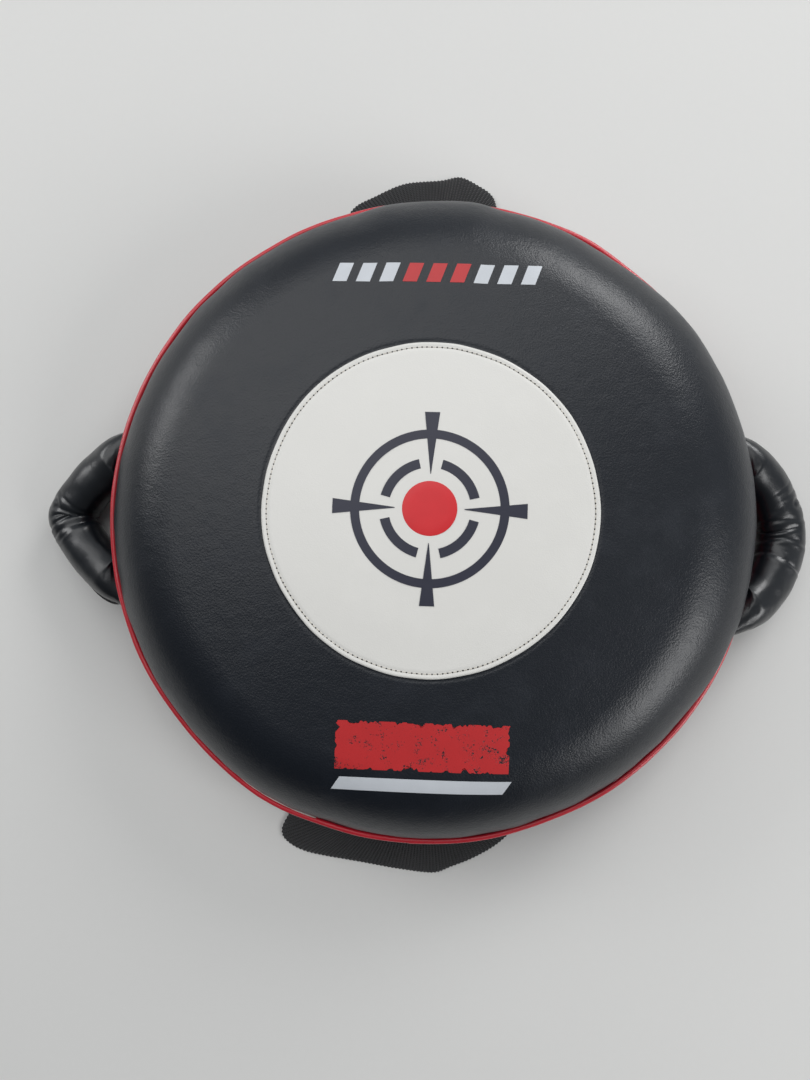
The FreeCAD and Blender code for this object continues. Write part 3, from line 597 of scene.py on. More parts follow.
    def rim_height(self, radius: np.ndarray) -> np.ndarray:
        """Height of the rolled back rim at a radius."""
        out = np.clip(radius - self.flat, 0, None)
        return self.rim - np.sqrt(self.rim ** 2 - out ** 2)


@dataclass
class Covers:
    """Front cover, side gusset, back cover and the two pipings."""

    form: PadForm
    finishes: Finishes
    columns: int = 600
    lap: float = math.radians(-92.5)

    def front(self) -> bpy.types.Object:
        """Leather cap: outer skin from the crown to the seam, tucked lip, then the inner skin back."""
        form = self.form
        radii = np.concatenate([np.linspace(2, 112, 6), np.linspace(116, 127, 12),
                                np.linspace(130, 182, 20)]) * MM
        outer = form.profile(0.0, radii, 46)
        inner = form.profile(form.wall, radii[::3], 16)[::-1]
        lip = form.front - form.tuck
        tuck = np.array([[lip + 5 * MM, form.seam], [lip, form.seam], [lip, form.seam + form.wall]])
        rings = form.revolve(np.concatenate([outer, tuck, inner]), self.columns)
        rings = rings + form.shift(rings)
        groove = bell(np.linalg.norm(rings[..., :2], axis=-1), 120.6 * MM, 1.3 * MM) * 0.5 * MM
        rings[..., 2] -= groove
        piece = loft("front_cover_skin", rings, Ends.POLES, self.finishes.cover)
        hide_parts("front_cover")
        return piece

    def gusset(self) -> bpy.types.Object:
        """Side strip: profile loop carried round, bowed out between the seams, with one lapped join."""
        form = self.form
        share = np.linspace(0, 1, 22)
        height = form.side_low + (form.side_high - form.side_low) * share
        outer = np.stack([form.side_radius(height), height], -1)
        bow = np.sin(math.pi * share) ** 0.8
        inner_share = np.linspace(0.96, 0.04, 10)
        inner_height = form.side_low + (form.side_high - form.side_low) * inner_share
        inner = np.stack([form.side_radius(inner_height) - form.wall, inner_height], -1)
        tuck_top = np.array([[form.front - form.tuck, form.side_high],
                             [form.front - form.tuck, form.side_high - form.wall]])
        tuck_low = np.array([[form.back - form.tuck, form.side_low + form.wall],
                             [form.back - form.tuck, form.side_low]])
        profile = np.concatenate([outer, tuck_top, inner, tuck_low])
        bows = np.concatenate([bow, np.zeros(2), np.sin(math.pi * inner_share), np.zeros(2)])
        rings = np.swapaxes(form.revolve(profile, self.columns), 0, 1)
        azimuth = np.arctan2(rings[..., 1], rings[..., 0])
        around = np.stack([np.cos(azimuth), np.sin(azimuth), rings[..., 2] * 3], -1) * form.front
        waves = 0.22 * Ripple(11, 70 * MM).at(around) + 0.16 * Ripple(12, 21 * MM).at(around)
        move = form.wobble(azimuth)
        move = move + bows * MM * (0.55 + waves)
        degrees = np.degrees(azimuth)
        move = move + bows * MM * 0.7 * smooth_step(112.0, 112.5, degrees) * smooth_step(118, 114, degrees)
        outward = unit(rings * [1, 1, 0])
        piece = loft("side_gusset_strip", rings + outward * move[..., None], Ends.LOOP, self.finishes.cover)
        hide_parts("side_gusset")
        return piece

    def back(self) -> bpy.types.Object:
        """Back panel with its rolled rim; it is dented upwards only, so it still lies flat."""
        form = self.form
        angle = np.linspace(0, math.acos((form.rim - form.back_seam) / form.rim), 26)
        flat = np.linspace(3 * MM, form.flat, 16)[:-1]
        roll = np.stack([form.flat + form.rim * np.sin(angle), form.rim * (1 - np.cos(angle))], -1)
        outer = np.concatenate([np.stack([flat, 0 * flat], -1), roll])
        lip = form.back - form.tuck
        tuck = np.array([[lip, form.back_seam], [lip, form.back_seam - form.wall]])
        shrink = (form.rim - form.wall) / form.rim
        inner = outer[::-2].copy()
        curved = inner[:, 0] > form.flat
        inner[curved, 0] = form.flat + (inner[curved, 0] - form.flat) * shrink
        inner[:, 1] = np.where(curved, form.rim - (form.rim - inner[:, 1]) * shrink, form.wall)
        rings = form.revolve(np.concatenate([outer, tuck, inner[1:]]), 480)
        radius = np.linalg.norm(rings[..., :2], axis=-1)
        azimuth = np.arctan2(rings[..., 1], rings[..., 0])
        dent = np.tanh(np.abs(Ripple(21, 80 * MM).at(rings)) * 0.6) * 0.7 * MM
        rings[..., 2] += dent * smooth_step(form.back, 0.19, radius)
        stray = form.wobble(azimuth) * smooth_step(0.19, 0.24, radius)
        rings += unit(rings * [1, 1, 0]) * stray[..., None]
        piece = loft("back_cover_panel", rings, Ends.POLES, self.finishes.cover)
        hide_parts("back_cover")
        return piece

    def piping(self, name: str, node: str, number: int) -> bpy.types.Object:
        """Covered cord sewn into a seam: small rings carried round, ending in a lapped join."""
        form = self.form
        azimuth = np.arange(720) * 2 * math.pi / 720
        turn = np.arange(14) * 2 * math.pi / 14
        past = (azimuth - self.lap) % (2 * math.pi)
        lapped = smooth_step(0.055, 0.0, past) + smooth_step(2 * math.pi - 0.004, 2 * math.pi, past)
        thick = form.pipe * (1 + 0.13 * np.clip(lapped, 0, 1))
        path = np.stack([np.cos(azimuth), np.sin(azimuth), 0 * azimuth], -1)
        thick = thick + Ripple(31 + number, 24 * MM).at(path * form.front) * 0.05 * MM
        radius = form.pipe_radii[number] + form.wobble(azimuth)
        radius = radius + Ripple(33 + number, 60 * MM).at(path * form.front) * 0.2 * MM
        height = form.pipe_heights[number] + Ripple(35 + number, 55 * MM).at(path * form.front) * 0.25 * MM
        outward = path[:, None] * (radius[:, None] + thick[:, None] * np.cos(turn))[..., None]
        rings = outward + np.array([0, 0, 1]) * (height[:, None] + thick[:, None] * np.sin(turn))[..., None]
        piece = loft(name, rings, Ends.LOOP, self.finishes.piping)
        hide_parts(node)
        return piece

    def build(self) -> None:
        """Makes the covers and ties them to the disc."""
        for piece in (self.front(), self.gusset(), self.back()):
            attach(piece, "pad")
        for piece in (self.piping("front_piping_roll", "front_piping", 0),
                      self.piping("back_piping_roll", "back_piping", 1)):
            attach(piece, "pad")


@dataclass
class Target:
    """Round leather patch, its stitches and its printed cross-hairs."""

    form: PadForm
    finishes: Finishes
    radius: float = 119.5 * MM
    thick: float = 1.1 * MM
    inset: float = 3.7 * MM
    pitch: float = 3.6 * MM
    ink: float = 0.2 * MM
    ring: tuple[float, float] = (49.6 * MM, 55.9 * MM)
    arcs: tuple[float, float] = (28.9 * MM, 35.7 * MM)
    arc_gap: float = 7.8 * MM
    spikes: tuple[float, float] = (24.5 * MM, 68.5 * MM)
    spike_halves: tuple[float, float] = (0.25 * MM, 5.35 * MM)

    def cut(self, azimuth: np.ndarray) -> np.ndarray:
        """The hand-cut edge: a circle with a small waver."""
        around = np.stack([np.cos(azimuth), np.sin(azimuth), 0 * azimuth], -1) * self.radius
        return 1 + Ripple(41, 90 * MM).at(around) * 0.0022 + Ripple(42, 26 * MM).at(around) * 0.0006

    def patch(self) -> bpy.types.Object:
        """Disc that follows the dome: pressed down along the stitch line and rolled at its cut edge."""
        radii = np.concatenate([np.linspace(2, 100, 18), np.linspace(104, 119.3, 26)]) * MM
        lift = self.thick - bell(radii, self.radius - self.inset, 1.5 * MM) * 0.35 * MM
        lift = lift - smooth_step(self.radius - 1.2 * MM, self.radius, radii) * 0.35 * MM
        under = radii[::-4]
        radii = np.concatenate([radii, [self.radius, self.radius], under])
        lift = np.concatenate([lift, [0.55 * MM, -0.2 * MM], np.full(len(under), -0.25 * MM)])
        azimuth = np.arange(480) * 2 * math.pi / 480
        scale = 1 + (self.cut(azimuth) - 1) * smooth_step(0.08, 0.119, radii)[:, None]
        flat = np.stack([np.cos(azimuth), np.sin(azimuth)], -1) * (radii[:, None] * scale)[..., None]
        rings = self.form.on_face(flat, 0.0)
        rings[..., 2] += lift[:, None] + Ripple(43, 42 * MM).at(rings) * 0.05 * MM
        piece = loft("target_patch_disc", rings, Ends.POLES, self.finishes.patch)
        piece.data.materials.append(self.finishes.cut_edge)
        rows = len(radii)
        edge = np.zeros((rows - 1, 480), np.int32)
        edge[len(radii) - len(under) - 2:] = 1
        index = np.concatenate([edge.ravel(), np.zeros(480, np.int32), np.ones(480, np.int32)])
        piece.data.polygons.foreach_set("material_index", index)
        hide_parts("target_patch")
        return piece

    def stitches(self) -> list[bpy.types.Object]:
        """Short thread bars in the pressed line, with a dark dot of painted shade between each two,
        standing for the needle's piercing.
        """
        count = round(2 * math.pi * (self.radius - self.inset) / self.pitch)
        pieces = []
        for name, half, size, rise in (("patch_stitches", 0.0, (2.3 * MM, 0.65 * MM, 0.5 * MM), 0.82),
                                       ("patch_needle_shade_dots", 0.5, (1.3 * MM, 1.0 * MM, 0.24 * MM), 0.84)):
            azimuth = (np.arange(count) + half) * 2 * math.pi / count
            azimuth = azimuth + np.sin(azimuth * 37) * 0.0012
            radius = (self.radius - self.inset) * self.cut(azimuth)
            flat = np.stack([np.cos(azimuth), np.sin(azimuth)], -1) * radius[:, None]
            origins = self.form.on_face(flat, rise * MM)
            along = np.stack([-np.sin(azimuth), np.cos(azimuth), 0 * azimuth], -1)
            upward = np.tile([0.0, 0.0, 1.0], (count, 1))
            axes = np.stack([along, np.cross(upward, along), upward], 1)
            # the second set are dark dots of painted shade where the needle went through
            finish = self.finishes.pale_thread if half == 0 else self.finishes.needle_shade
            pieces.append(scatter(name, capsule(*size), origins, axes, finish))
        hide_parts("patch_thread")
        return pieces

    def slab(self, name: str, flat: np.ndarray, finish: bpy.types.Material, base: float,
             ends: Ends = Ends.STRIP) -> bpy.types.Object:
        """Printed layer over a grid of plane positions, its foot sunk into what it is printed on."""
        flat = self.form.turned(flat)
        top = self.form.on_face(flat, base + self.ink)
        return plate(name, top, self.form.on_face(flat, base - 0.15 * MM), finish, ends, 30)

    def band(self, inner: float, outer: float, start: float, end: float, columns: int) -> np.ndarray:
        """Grid of plane positions between two radii and two azimuths."""
        azimuth = np.linspace(start, end, columns)[:, None]
        radius = np.linspace(inner, outer, 4)[None]
        return np.stack([np.cos(azimuth) * radius, np.sin(azimuth) * radius], -1)

    def print_pieces(self) -> list[bpy.types.Object]:
        """Ring, four arcs, four spikes and the bullseye."""
        base = self.thick
        navy = self.finishes.navy
        ring = self.band(*self.ring, 0, 2 * math.pi, 241)[:-1]
        pieces = [self.slab("crosshair_ring", ring, navy, base, Ends.LOOP)]
        gap = math.asin(self.arc_gap / (sum(self.arcs) / 2))
        near, far = self.spikes
        point, foot = self.spike_halves
        for number in range(4):
            start = number * math.pi / 2
            arc = self.band(*self.arcs, start + gap, start + math.pi / 2 - gap, 40)
            pieces.append(self.slab(f"crosshair_arc_{number + 1}", arc, navy, base))
            reach = np.linspace(near, far, 24)[:, None]
            half = point + (foot - point) * (reach - near) / (far - near)
            across = np.linspace(-1, 1, 5)[None] * half
            cos, sin = math.cos(start), math.sin(start)
            spike = np.stack([cos * reach - sin * across, sin * reach + cos * across], -1)
            pieces.append(self.slab(f"crosshair_spike_{number + 1}", spike, navy, base + 0.03 * MM))
        azimuth = np.arange(96) * 2 * math.pi / 96
        radii = np.array([1, 7, 13, 19.1, 19.4, 19.4, 12, 3]) * MM
        lift = base + np.array([0.2, 0.2, 0.2, 0.2, 0.14, -0.1, -0.1, -0.1]) * MM
        flat = np.stack([np.cos(azimuth), np.sin(azimuth)], -1) * radii[:, None, None]
        rings = self.form.on_face(flat, 0.0)
        rings[..., 2] += lift[:, None]
        pieces.append(loft("bullseye_disc", rings, Ends.POLES, self.finishes.bull_red))
        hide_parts("crosshair_print")
        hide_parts("bullseye_print")
        return pieces

    def build(self) -> None:
        """Makes the patch, its thread and its print."""
        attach(self.patch(), "pad")
        for piece in self.stitches():
            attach(piece, "pad")
        pieces = self.print_pieces()
        for piece in pieces:
            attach(piece, "pad")


@dataclass
class FacePrints:
    """Plain printed marks above and below the patch: slanted stripes, a rough band and a bar."""

    target: Target
    finishes: Finishes
    stripes: int = 9
    stripe_pitch: float = 17 * MM
    stripe_size: tuple[float, float] = (10.2 * MM, 14 * MM)
    stripe_height: float = 171 * MM
    band_size: tuple[float, float] = (122 * MM, 34 * MM)
    band_height: float = -167 * MM
    bar_size: tuple[float, float] = (121 * MM, 9.5 * MM)
    bar_height: float = -194.5 * MM

    def block(self, middle: tuple[float, float], size: tuple[float, float], slant: float,
              rows: int, columns: int, rough: float = 0.0) -> np.ndarray:
        """Grid over a leaning rectangle; rough tears its long edges by that many metres."""
        across = np.linspace(-1, 1, columns)[:, None]
        up = np.linspace(-1, 1, rows)[None]
        x = middle[0] + across * size[0] / 2 + up * slant / 2
        y = middle[1] + up * size[1] / 2 + 0 * across
        place = np.stack([x, y, 0 * x], -1)
        tear = np.clip(Ripple(51, 9 * MM).at(place) + 0.8 * Ripple(52, 3.4 * MM).at(place), 0, None)
        y = y - np.sign(up) * rough * tear * np.abs(up) ** 6
        x = x - np.sign(across) * rough * 0.8 * tear * np.abs(across) ** 24
        return np.stack([x, y], -1)

    def build(self) -> None:
        """Makes the marks; each group is named after the print it stands for."""
        finishes = self.finishes
        pieces = []
        for number in range(self.stripes):
            red = number in (3, 4, 5)
            middle = ((number - self.stripes // 2) * self.stripe_pitch, self.stripe_height)
            grid = self.block(middle, self.stripe_size, 5 * MM, 9, 9)
            finish = finishes.stripe_red if red else finishes.white
            pieces.append((self.target.slab(f"upper_stripe_{number + 1}", grid, finish, 0.0), red))
        band = self.block((0.0, self.band_height), self.band_size, 0.0, 60, 220, 1.1 * MM)
        pieces.append((self.target.slab("lower_band", band, finishes.band_red, 0.0), True))
        bar = self.block((0.0, self.bar_height), self.bar_size, 6 * MM, 12, 60)
        pieces.append((self.target.slab("lower_bar", bar, finishes.white, 0.0), False))
        for piece, red in pieces:
            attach(piece, "pad")
        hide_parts("upper_stripes_white")
        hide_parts("upper_stripes_red")
        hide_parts("lower_band_red")
        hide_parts("lower_bar_white")


# ---------------------------------------------------------------- the grips

@dataclass
class Grip:
    """A stuffed leather roll bent at an elbow, its ends flattened against stitched tabs."""

    form: PadForm
    finishes: Finishes
    side: Side
    top: float
    bottom: float
    ends: tuple[float, float]
    reach: float
    elbow: float
    elbow_pull: float
    end_pull: float
    folds: tuple[tuple[float, float, float], ...]
    nicks: tuple[tuple[float, float, float], ...]
    loops: tuple[tuple[float, float, float], ...]
    seed: int
    radius: float = 18.5 * MM
    end_width: float = 22.5 * MM
    end_height: float = 10 * MM
    swell: float = 15 * MM
    slant: float = 0.3
    start: float = 2.2 * MM
    clearance: float = 0.3 * MM
    tab_width: float = 24 * MM
    tab_height: float = 22 * MM
    stations: int = 190
    columns: int = 56

    def __post_init__(self) -> None:
        """Takes the hinge from its joint; the droop lets the roll just clear the floor."""
        self.name, self.sign = self.side.value
        self.body = f"{self.name}_grip"
        self.hinge = Vector(JOINTS[f"{self.body}_swing"]["pos_m"])
        self.droop = math.asin((self.hinge.z - self.radius - self.clearance) / self.reach)

    def bend(self, poles: np.ndarray, share: np.ndarray) -> np.ndarray:
        """Cubic Bezier through its poles: the four Bernstein weights of the share."""
        back = 1 - share
        weights = np.stack([back ** 3, 3 * back ** 2 * share, 3 * back * share ** 2, share ** 3], -1)
        return weights @ poles

    def path(self) -> tuple[np.ndarray, np.ndarray, np.ndarray]:
        """Even stations along two bends that meet at the elbow, run on into the side wall.

        Returns:
            The points in the grip's own plane, the distance to the nearer end at each, and
            the distance along the line past the elbow.
        """
        elbow = (self.reach, self.elbow)
        top, bottom = self.ends
        drop = self.end_pull * self.slant
        first = np.array([(self.start, top), (self.start + self.end_pull, top - drop),
                          (self.reach, self.elbow + self.elbow_pull), elbow])
        second = np.array([elbow, (self.reach, self.elbow - self.elbow_pull * 1.2),
                           (self.start + self.end_pull, bottom + drop), (self.start, bottom)])
        share = np.linspace(0, 1, 300)
        line = np.concatenate([self.bend(first, share), self.bend(second, share)[1:]])
        inner = [abs(self.hinge.x) - math.sqrt(self.form.front ** 2 - y * y) - 0.5 * MM for y in self.ends]
        line = np.concatenate([[(-inner[0], top + (inner[0] + self.start) * self.slant)], line,
                               [(-inner[1], bottom - (inner[1] + self.start) * self.slant)]])
        run = np.concatenate([[0.0], np.cumsum(np.linalg.norm(np.diff(line, axis=0), axis=1))])
        even = np.linspace(0, run[-1], self.stations)
        points = np.stack([np.interp(even, run, line[:, axis]) for axis in (0, 1)], -1)
        return points, np.minimum(even, run[-1] - even), even - run[300]

    def creases(self, along: np.ndarray, angle: np.ndarray, points: np.ndarray,
                full: np.ndarray) -> np.ndarray:
        """How far the skin stands in.

        Folds are bells along the line, deepest on the inside of the elbow. Nicks are short
        bent grooves and loops are oval ones, each on the face that its angle gives. A seam
        runs along the underside, and the stuffed part is mottled with two sizes of waviness.
        """
        inward = (1 - np.cos(angle)) / 2
        depth = np.zeros(angle.shape)
        for place, deep, width in self.folds:
            line = along - place * MM - 2.2 * MM * np.sin(2 * angle + place)
            depth += deep * MM * bell(line, 0.0, width * MM) * inward ** 1.6
            depth -= 0.35 * deep * MM * bell(line, 2.1 * width * MM, width * MM) * inward
        for place, face, deep in self.nicks:
            turn = (angle - face + math.pi) % (2 * math.pi) - math.pi
            line = along - place * MM + 2.0 * MM * turn ** 2
            depth += deep * MM * (bell(line, 0.0, 1.2 * MM) - 0.5 * bell(line, 2.4 * MM, 1.4 * MM)) \
                * np.exp(-(turn / 0.5) ** 2)
        for place, face, deep in self.loops:
            turn = (angle - face + math.pi) % (2 * math.pi) - math.pi
            oval = np.hypot((along - place * MM) / (3.4 * MM), turn * self.radius / (6.5 * MM))
            depth += deep * MM * (bell(oval, 1.0, 0.30) - 0.7 * bell(oval, 0.0, 0.55))
        depth += 0.5 * MM * bell(angle, 1.5 * math.pi, 0.07) * full
        broad, fine = Ripple(self.seed, 26 * MM).at(points), Ripple(self.seed + 1, 11 * MM).at(points)
        return depth + (broad * 0.16 + fine * 0.05) * MM * full

    def rings(self) -> np.ndarray:
        """Sections along the line: flat and level with the side wall at the ends, round between.

        Each section swells as a quarter sine from its end, while its breadth turns from the
        wall's own direction to square across the line.
        """
        line, from_end, along = self.path()
        slope = unit(np.gradient(line, axis=0))
        near = np.clip(from_end / self.swell, 0, 1)
        full = np.sin(near * math.pi / 2)[:, None]
        angle = (np.arange(self.columns) * 2 * math.pi / self.columns)[None]
        square = np.stack([-slope[:, 1], slope[:, 0]], -1)
        wall = unit(np.stack([-line[:, 1], abs(self.hinge.x) + line[:, 0]], -1)) * np.sign(-along)[:, None]
        turned = smooth_step(0, 1, near)[:, None]
        across = unit(square * turned + wall * (1 - turned))
        across = np.concatenate([across, 0 * line[:, :1]], -1)[:, None]
        middle = np.concatenate([line, 0 * line[:, :1]], -1)[:, None]
        width = self.end_width * (1 - full) + self.radius * full
        height = self.end_height * (1 - full) + self.radius * full
        facing = across * np.cos(angle)[..., None] + np.array([0, 0, 1]) * np.sin(angle)[..., None]
        base = middle + across * (width * np.cos(angle))[..., None] \
            + np.array([0, 0, 1]) * (height * np.sin(angle))[..., None]
        depth = self.creases(along[:, None] + 0 * angle, angle + 0 * along[:, None], base, full)
        return base - facing * depth[..., None]

    def placed(self, points: np.ndarray) -> np.ndarray:
        """From the grip's own plane to the disc: mirrored to its side, drooped and set on the hinge."""
        turn = self.sign * self.droop
        x, y, z = np.moveaxis(points * [self.sign, 1, 1], -1, 0)
        cos, sin = math.cos(turn), math.sin(turn)
        return np.stack([x * cos + z * sin, y, z * cos - x * sin], -1) + np.array(self.hinge)

    def sleeve(self) -> bpy.types.Object:
        """The leather tube, puffed by a short cloth simulation and smoothed once."""
        piece = loft(f"{self.body}_roll", self.placed(self.rings()), Ends.POLES, self.finishes.grip, 180)
        puff(piece, self.columns * 6, 1.0 * MM)
        smooth = piece.modifiers.new("smooth", "SUBSURF")
        smooth.levels = smooth.render_levels = 1
        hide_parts(f"{self.body}_sleeve", f"{self.body}_foam")
        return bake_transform(piece)

    def tab(self, end: str, middle: float) -> bpy.types.Object:
        """Small leather plate on the side wall: rounded rings from its middle over its edge to its foot."""
        scale = np.array([0.05, 0.3, 0.6, 0.82, 0.92, 0.97, 1.0, 1.0, 0.7, 0.2])
        lift = np.array([1.4, 1.4, 1.4, 1.4, 1.36, 1.15, 0.8, -0.3, -0.4, -0.4]) * MM
        angle = np.arange(48) * 2 * math.pi / 48
        square = np.stack([np.sign(np.cos(angle)) * np.abs(np.cos(angle)) ** 0.4,
                           np.sign(np.sin(angle)) * np.abs(np.sin(angle)) ** 0.4], -1)
        spot = scale[:, None, None] * square * [self.tab_width / 2, self.tab_height / 2]
        spot = spot + [middle, self.hinge.z]
        radius = self.form.side_radius(spot[..., 1]) + lift[:, None]
        x = self.sign * np.sqrt(radius ** 2 - spot[..., 0] ** 2)
        piece = loft(f"{self.body}_{end}_tab", np.stack([x, spot[..., 0], spot[..., 1]], -1), Ends.POLES,
                     self.finishes.cover)
        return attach(piece, "pad")

    def build(self) -> None:
        """Makes the roll and its two tabs."""
        self.sleeve()
        top = self.tab("top", self.top)
        self.tab("bottom", self.bottom)
        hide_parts(f"{self.body}_tabs")


def puff(piece: bpy.types.Object, held: int, most: float) -> None:
    """Cloth simulation with inside pressure, applied to the mesh and pressed flat where it meets the floor.

    Args:
        piece: a closed mesh whose first and last points are its sewn ends.
        held: how many points at each end stay where they are.
        most: the furthest that a point may move, in metres.
    """
    mesh = piece.data
    count = len(mesh.vertices)
    rest = np.zeros(count * 3, np.float32)
    mesh.vertices.foreach_get("co", rest)
    pins = piece.vertex_groups.new(name="pins")
    pins.add(list(range(held)) + list(range(count - held - 2, count)), 1.0, "REPLACE")
    cloth = piece.modifiers.new("cloth", "CLOTH")
    cloth.settings.vertex_group_mass = "pins"
    cloth.settings.quality = 6
    cloth.settings.mass = 0.25
    cloth.settings.tension_stiffness = cloth.settings.compression_stiffness = 30
    cloth.settings.bending_stiffness = 0.6
    cloth.settings.shrink_min = -0.006
    cloth.settings.use_pressure = True
    cloth.settings.uniform_pressure_force = 4.0
    cloth.settings.effector_weights.gravity = 0.0
    cloth.point_cache.frame_start, cloth.point_cache.frame_end = 1, 20
    scene = bpy.context.scene
    for number in range(1, 21):
        scene.frame_set(number)
    settled = np.zeros(count * 3, np.float32)
    piece.evaluated_get(bpy.context.evaluated_depsgraph_get()).data.vertices.foreach_get("co", settled)
    piece.modifiers.remove(cloth)
    scene.frame_set(1)
    move = (settled - rest).reshape(-1, 3)
    far = np.maximum(np.linalg.norm(move, axis=1, keepdims=True), 1e-9)
    points = rest.reshape(-1, 3) + move * most * np.tanh(far / most) / far
    points[:, 2] = np.maximum(points[:, 2], 0.2 * MM)
    mesh.vertices.foreach_set("co", points.ravel())
    piece.vertex_groups.clear()
    mesh.update()
    LOG.info("%s: puffed, furthest move %.2f mm", piece.name, float(far.max()) * 1000)


# ---------------------------------------------------------------- the loops

@dataclass
class Loop:
    """A flat webbing loop whose ends are sewn under the rim: one ribbon between two edge lines."""

    form: PadForm
    finishes: Finishes
    name: str
    outer: tuple[tuple[float, float], ...]
    inner: tuple[tuple[float, float], ...]
    seed: int
    thick: float = 1.8 * MM
    rib: float = 2.4 * MM
    stations: int = 900
    columns: int = 18
    lie: float = 1.3 * MM

    def edge(self, points: tuple[tuple[float, float], ...]) -> np.ndarray:
        """Smooth line through edge points: Catmull-Rom pieces, evenly spaced by length."""
        knots = np.array(points) * MM
        padded = np.concatenate([2 * knots[:1] - knots[1:2], knots, 2 * knots[-1:] - knots[-2:-1]])
        t = np.linspace(0, 1, 60, endpoint=False)[:, None]
        pieces = []
        for number in range(len(knots) - 1):
            a, b, c, d = padded[number:number + 4]
            pieces.append(0.5 * (2 * b + (c - a) * t + (2 * a - 5 * b + 4 * c - d) * t ** 2
                                 + (3 * b - a - 3 * c + d) * t ** 3))
        line = np.concatenate(pieces + [knots[-1:]])
        marks = np.linspace(0, len(line) - 1, self.stations)
        return np.stack([np.interp(marks, np.arange(len(line)), line[:, axis]) for axis in (0, 1)], -1)

    def middle_height(self, flat: np.ndarray, fold: float) -> np.ndarray:
        """Under the rolled rim as far as the fold line, then down to lie just clear of the floor."""
        out = np.abs(flat[..., 1])
        rim = self.form.rim_height(np.linalg.norm(flat, axis=-1)) - self.thick / 2 - 0.1 * MM
        place = np.concatenate([flat, 0 * flat[..., :1]], -1)
        waves = (0.5 + 0.5 * np.tanh(Ripple(self.seed, 60 * MM).at(place))) * 1.1 * MM
        down = smooth_step(fold - 1 * MM, fold + 26 * MM, out)
        return np.maximum(rim * (1 - down) + (self.lie + waves) * down, self.thick / 2 + 0.25 * MM)

    def build(self) -> None:
        """Grid between the edges; ribs and a notched selvedge are worked into it."""
        body = f"{self.name}_loop"
        hinge = Vector(JOINTS[f"{body}_swing"]["pos_m"])
        outer, inner = self.edge(self.outer), self.edge(self.inner)
        share = np.linspace(0, 1, self.columns)[None, :, None]
        middle = (outer + inner) / 2
        run = np.concatenate([[0.0], np.cumsum(np.linalg.norm(np.diff(middle, axis=0), axis=1))])
        notch = np.sin(2 * math.pi * run / self.rib)[:, None] * 0.32 * MM
        aside = unit(outer - inner)
        flat = (outer + aside * notch)[:, None] * (1 - share) + (inner - aside * notch)[:, None] * share
        height = self.middle_height(flat, abs(hinge.y))
        ribs = np.sin(2 * math.pi * run / self.rib)[:, None] * 0.13 * MM
        half = self.thick / 2 * (1 - 0.55 * np.abs(2 * share[..., 0] - 1) ** 8)
        top = np.concatenate([flat, (height + half + ribs)[..., None]], -1)
        bottom = np.concatenate([flat, (height - half - ribs * 0.5)[..., None]], -1)
        piece = plate(f"{body}_ribbon", top, bottom, self.finishes.webbing, sharp=70)
        across = share[..., 0] * np.linalg.norm(outer - inner, axis=1)[:, None]
        weave = np.stack([across, run[:, None] + 0 * across, 0 * across], -1)
        weave = np.concatenate([weave, weave[:, ::-1]], axis=1)
        attribute = piece.data.attributes.new("weave", "FLOAT_VECTOR", "POINT")
        attribute.data.foreach_set("vector", weave.ravel().astype(np.float32))
        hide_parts(f"{body}_webbing", f"{body}_tabs")
        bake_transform(piece)


# ---------------------------------------------------------------- what stays, and the studio

def dress_nodes(finishes: Finishes) -> None:
    """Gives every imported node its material; the stuffing and thread keep their own shapes."""
    chosen = {
        "front_cover": finishes.cover, "side_gusset": finishes.cover, "back_cover": finishes.cover,
        "front_piping": finishes.piping, "back_piping": finishes.piping,
        "front_piping_cord": finishes.cord, "back_piping_cord": finishes.cord,
        "gel_sheet": finishes.gel, "impact_foam": finishes.firm_foam, "core_foam": finishes.soft_foam,
        "backing_sheet": finishes.firm_foam,
        "target_patch": finishes.patch, "patch_thread": finishes.pale_thread,
        "crosshair_print": finishes.navy, "bullseye_print": finishes.bull_red,
        "upper_stripes_white": finishes.white, "upper_stripes_red": finishes.stripe_red,
        "lower_band_red": finishes.band_red, "lower_bar_white": finishes.white,
    }
    for side in Side:
        grip = f"{side.value[0]}_grip"
        chosen.update({f"{grip}_sleeve": finishes.grip, f"{grip}_foam": finishes.soft_foam,
                       f"{grip}_strap": finishes.webbing, f"{grip}_tabs": finishes.cover,
                       f"{grip}_tab_thread": finishes.black_thread})
    for end in ("top", "bottom"):
        chosen.update({f"{end}_loop_webbing": finishes.webbing, f"{end}_loop_tabs": finishes.webbing,
                       f"{end}_loop_tab_thread": finishes.black_thread})
    for name, node in frame["nodes"].items():
        node.data.materials.clear()
        node.data.materials.append(chosen[name])


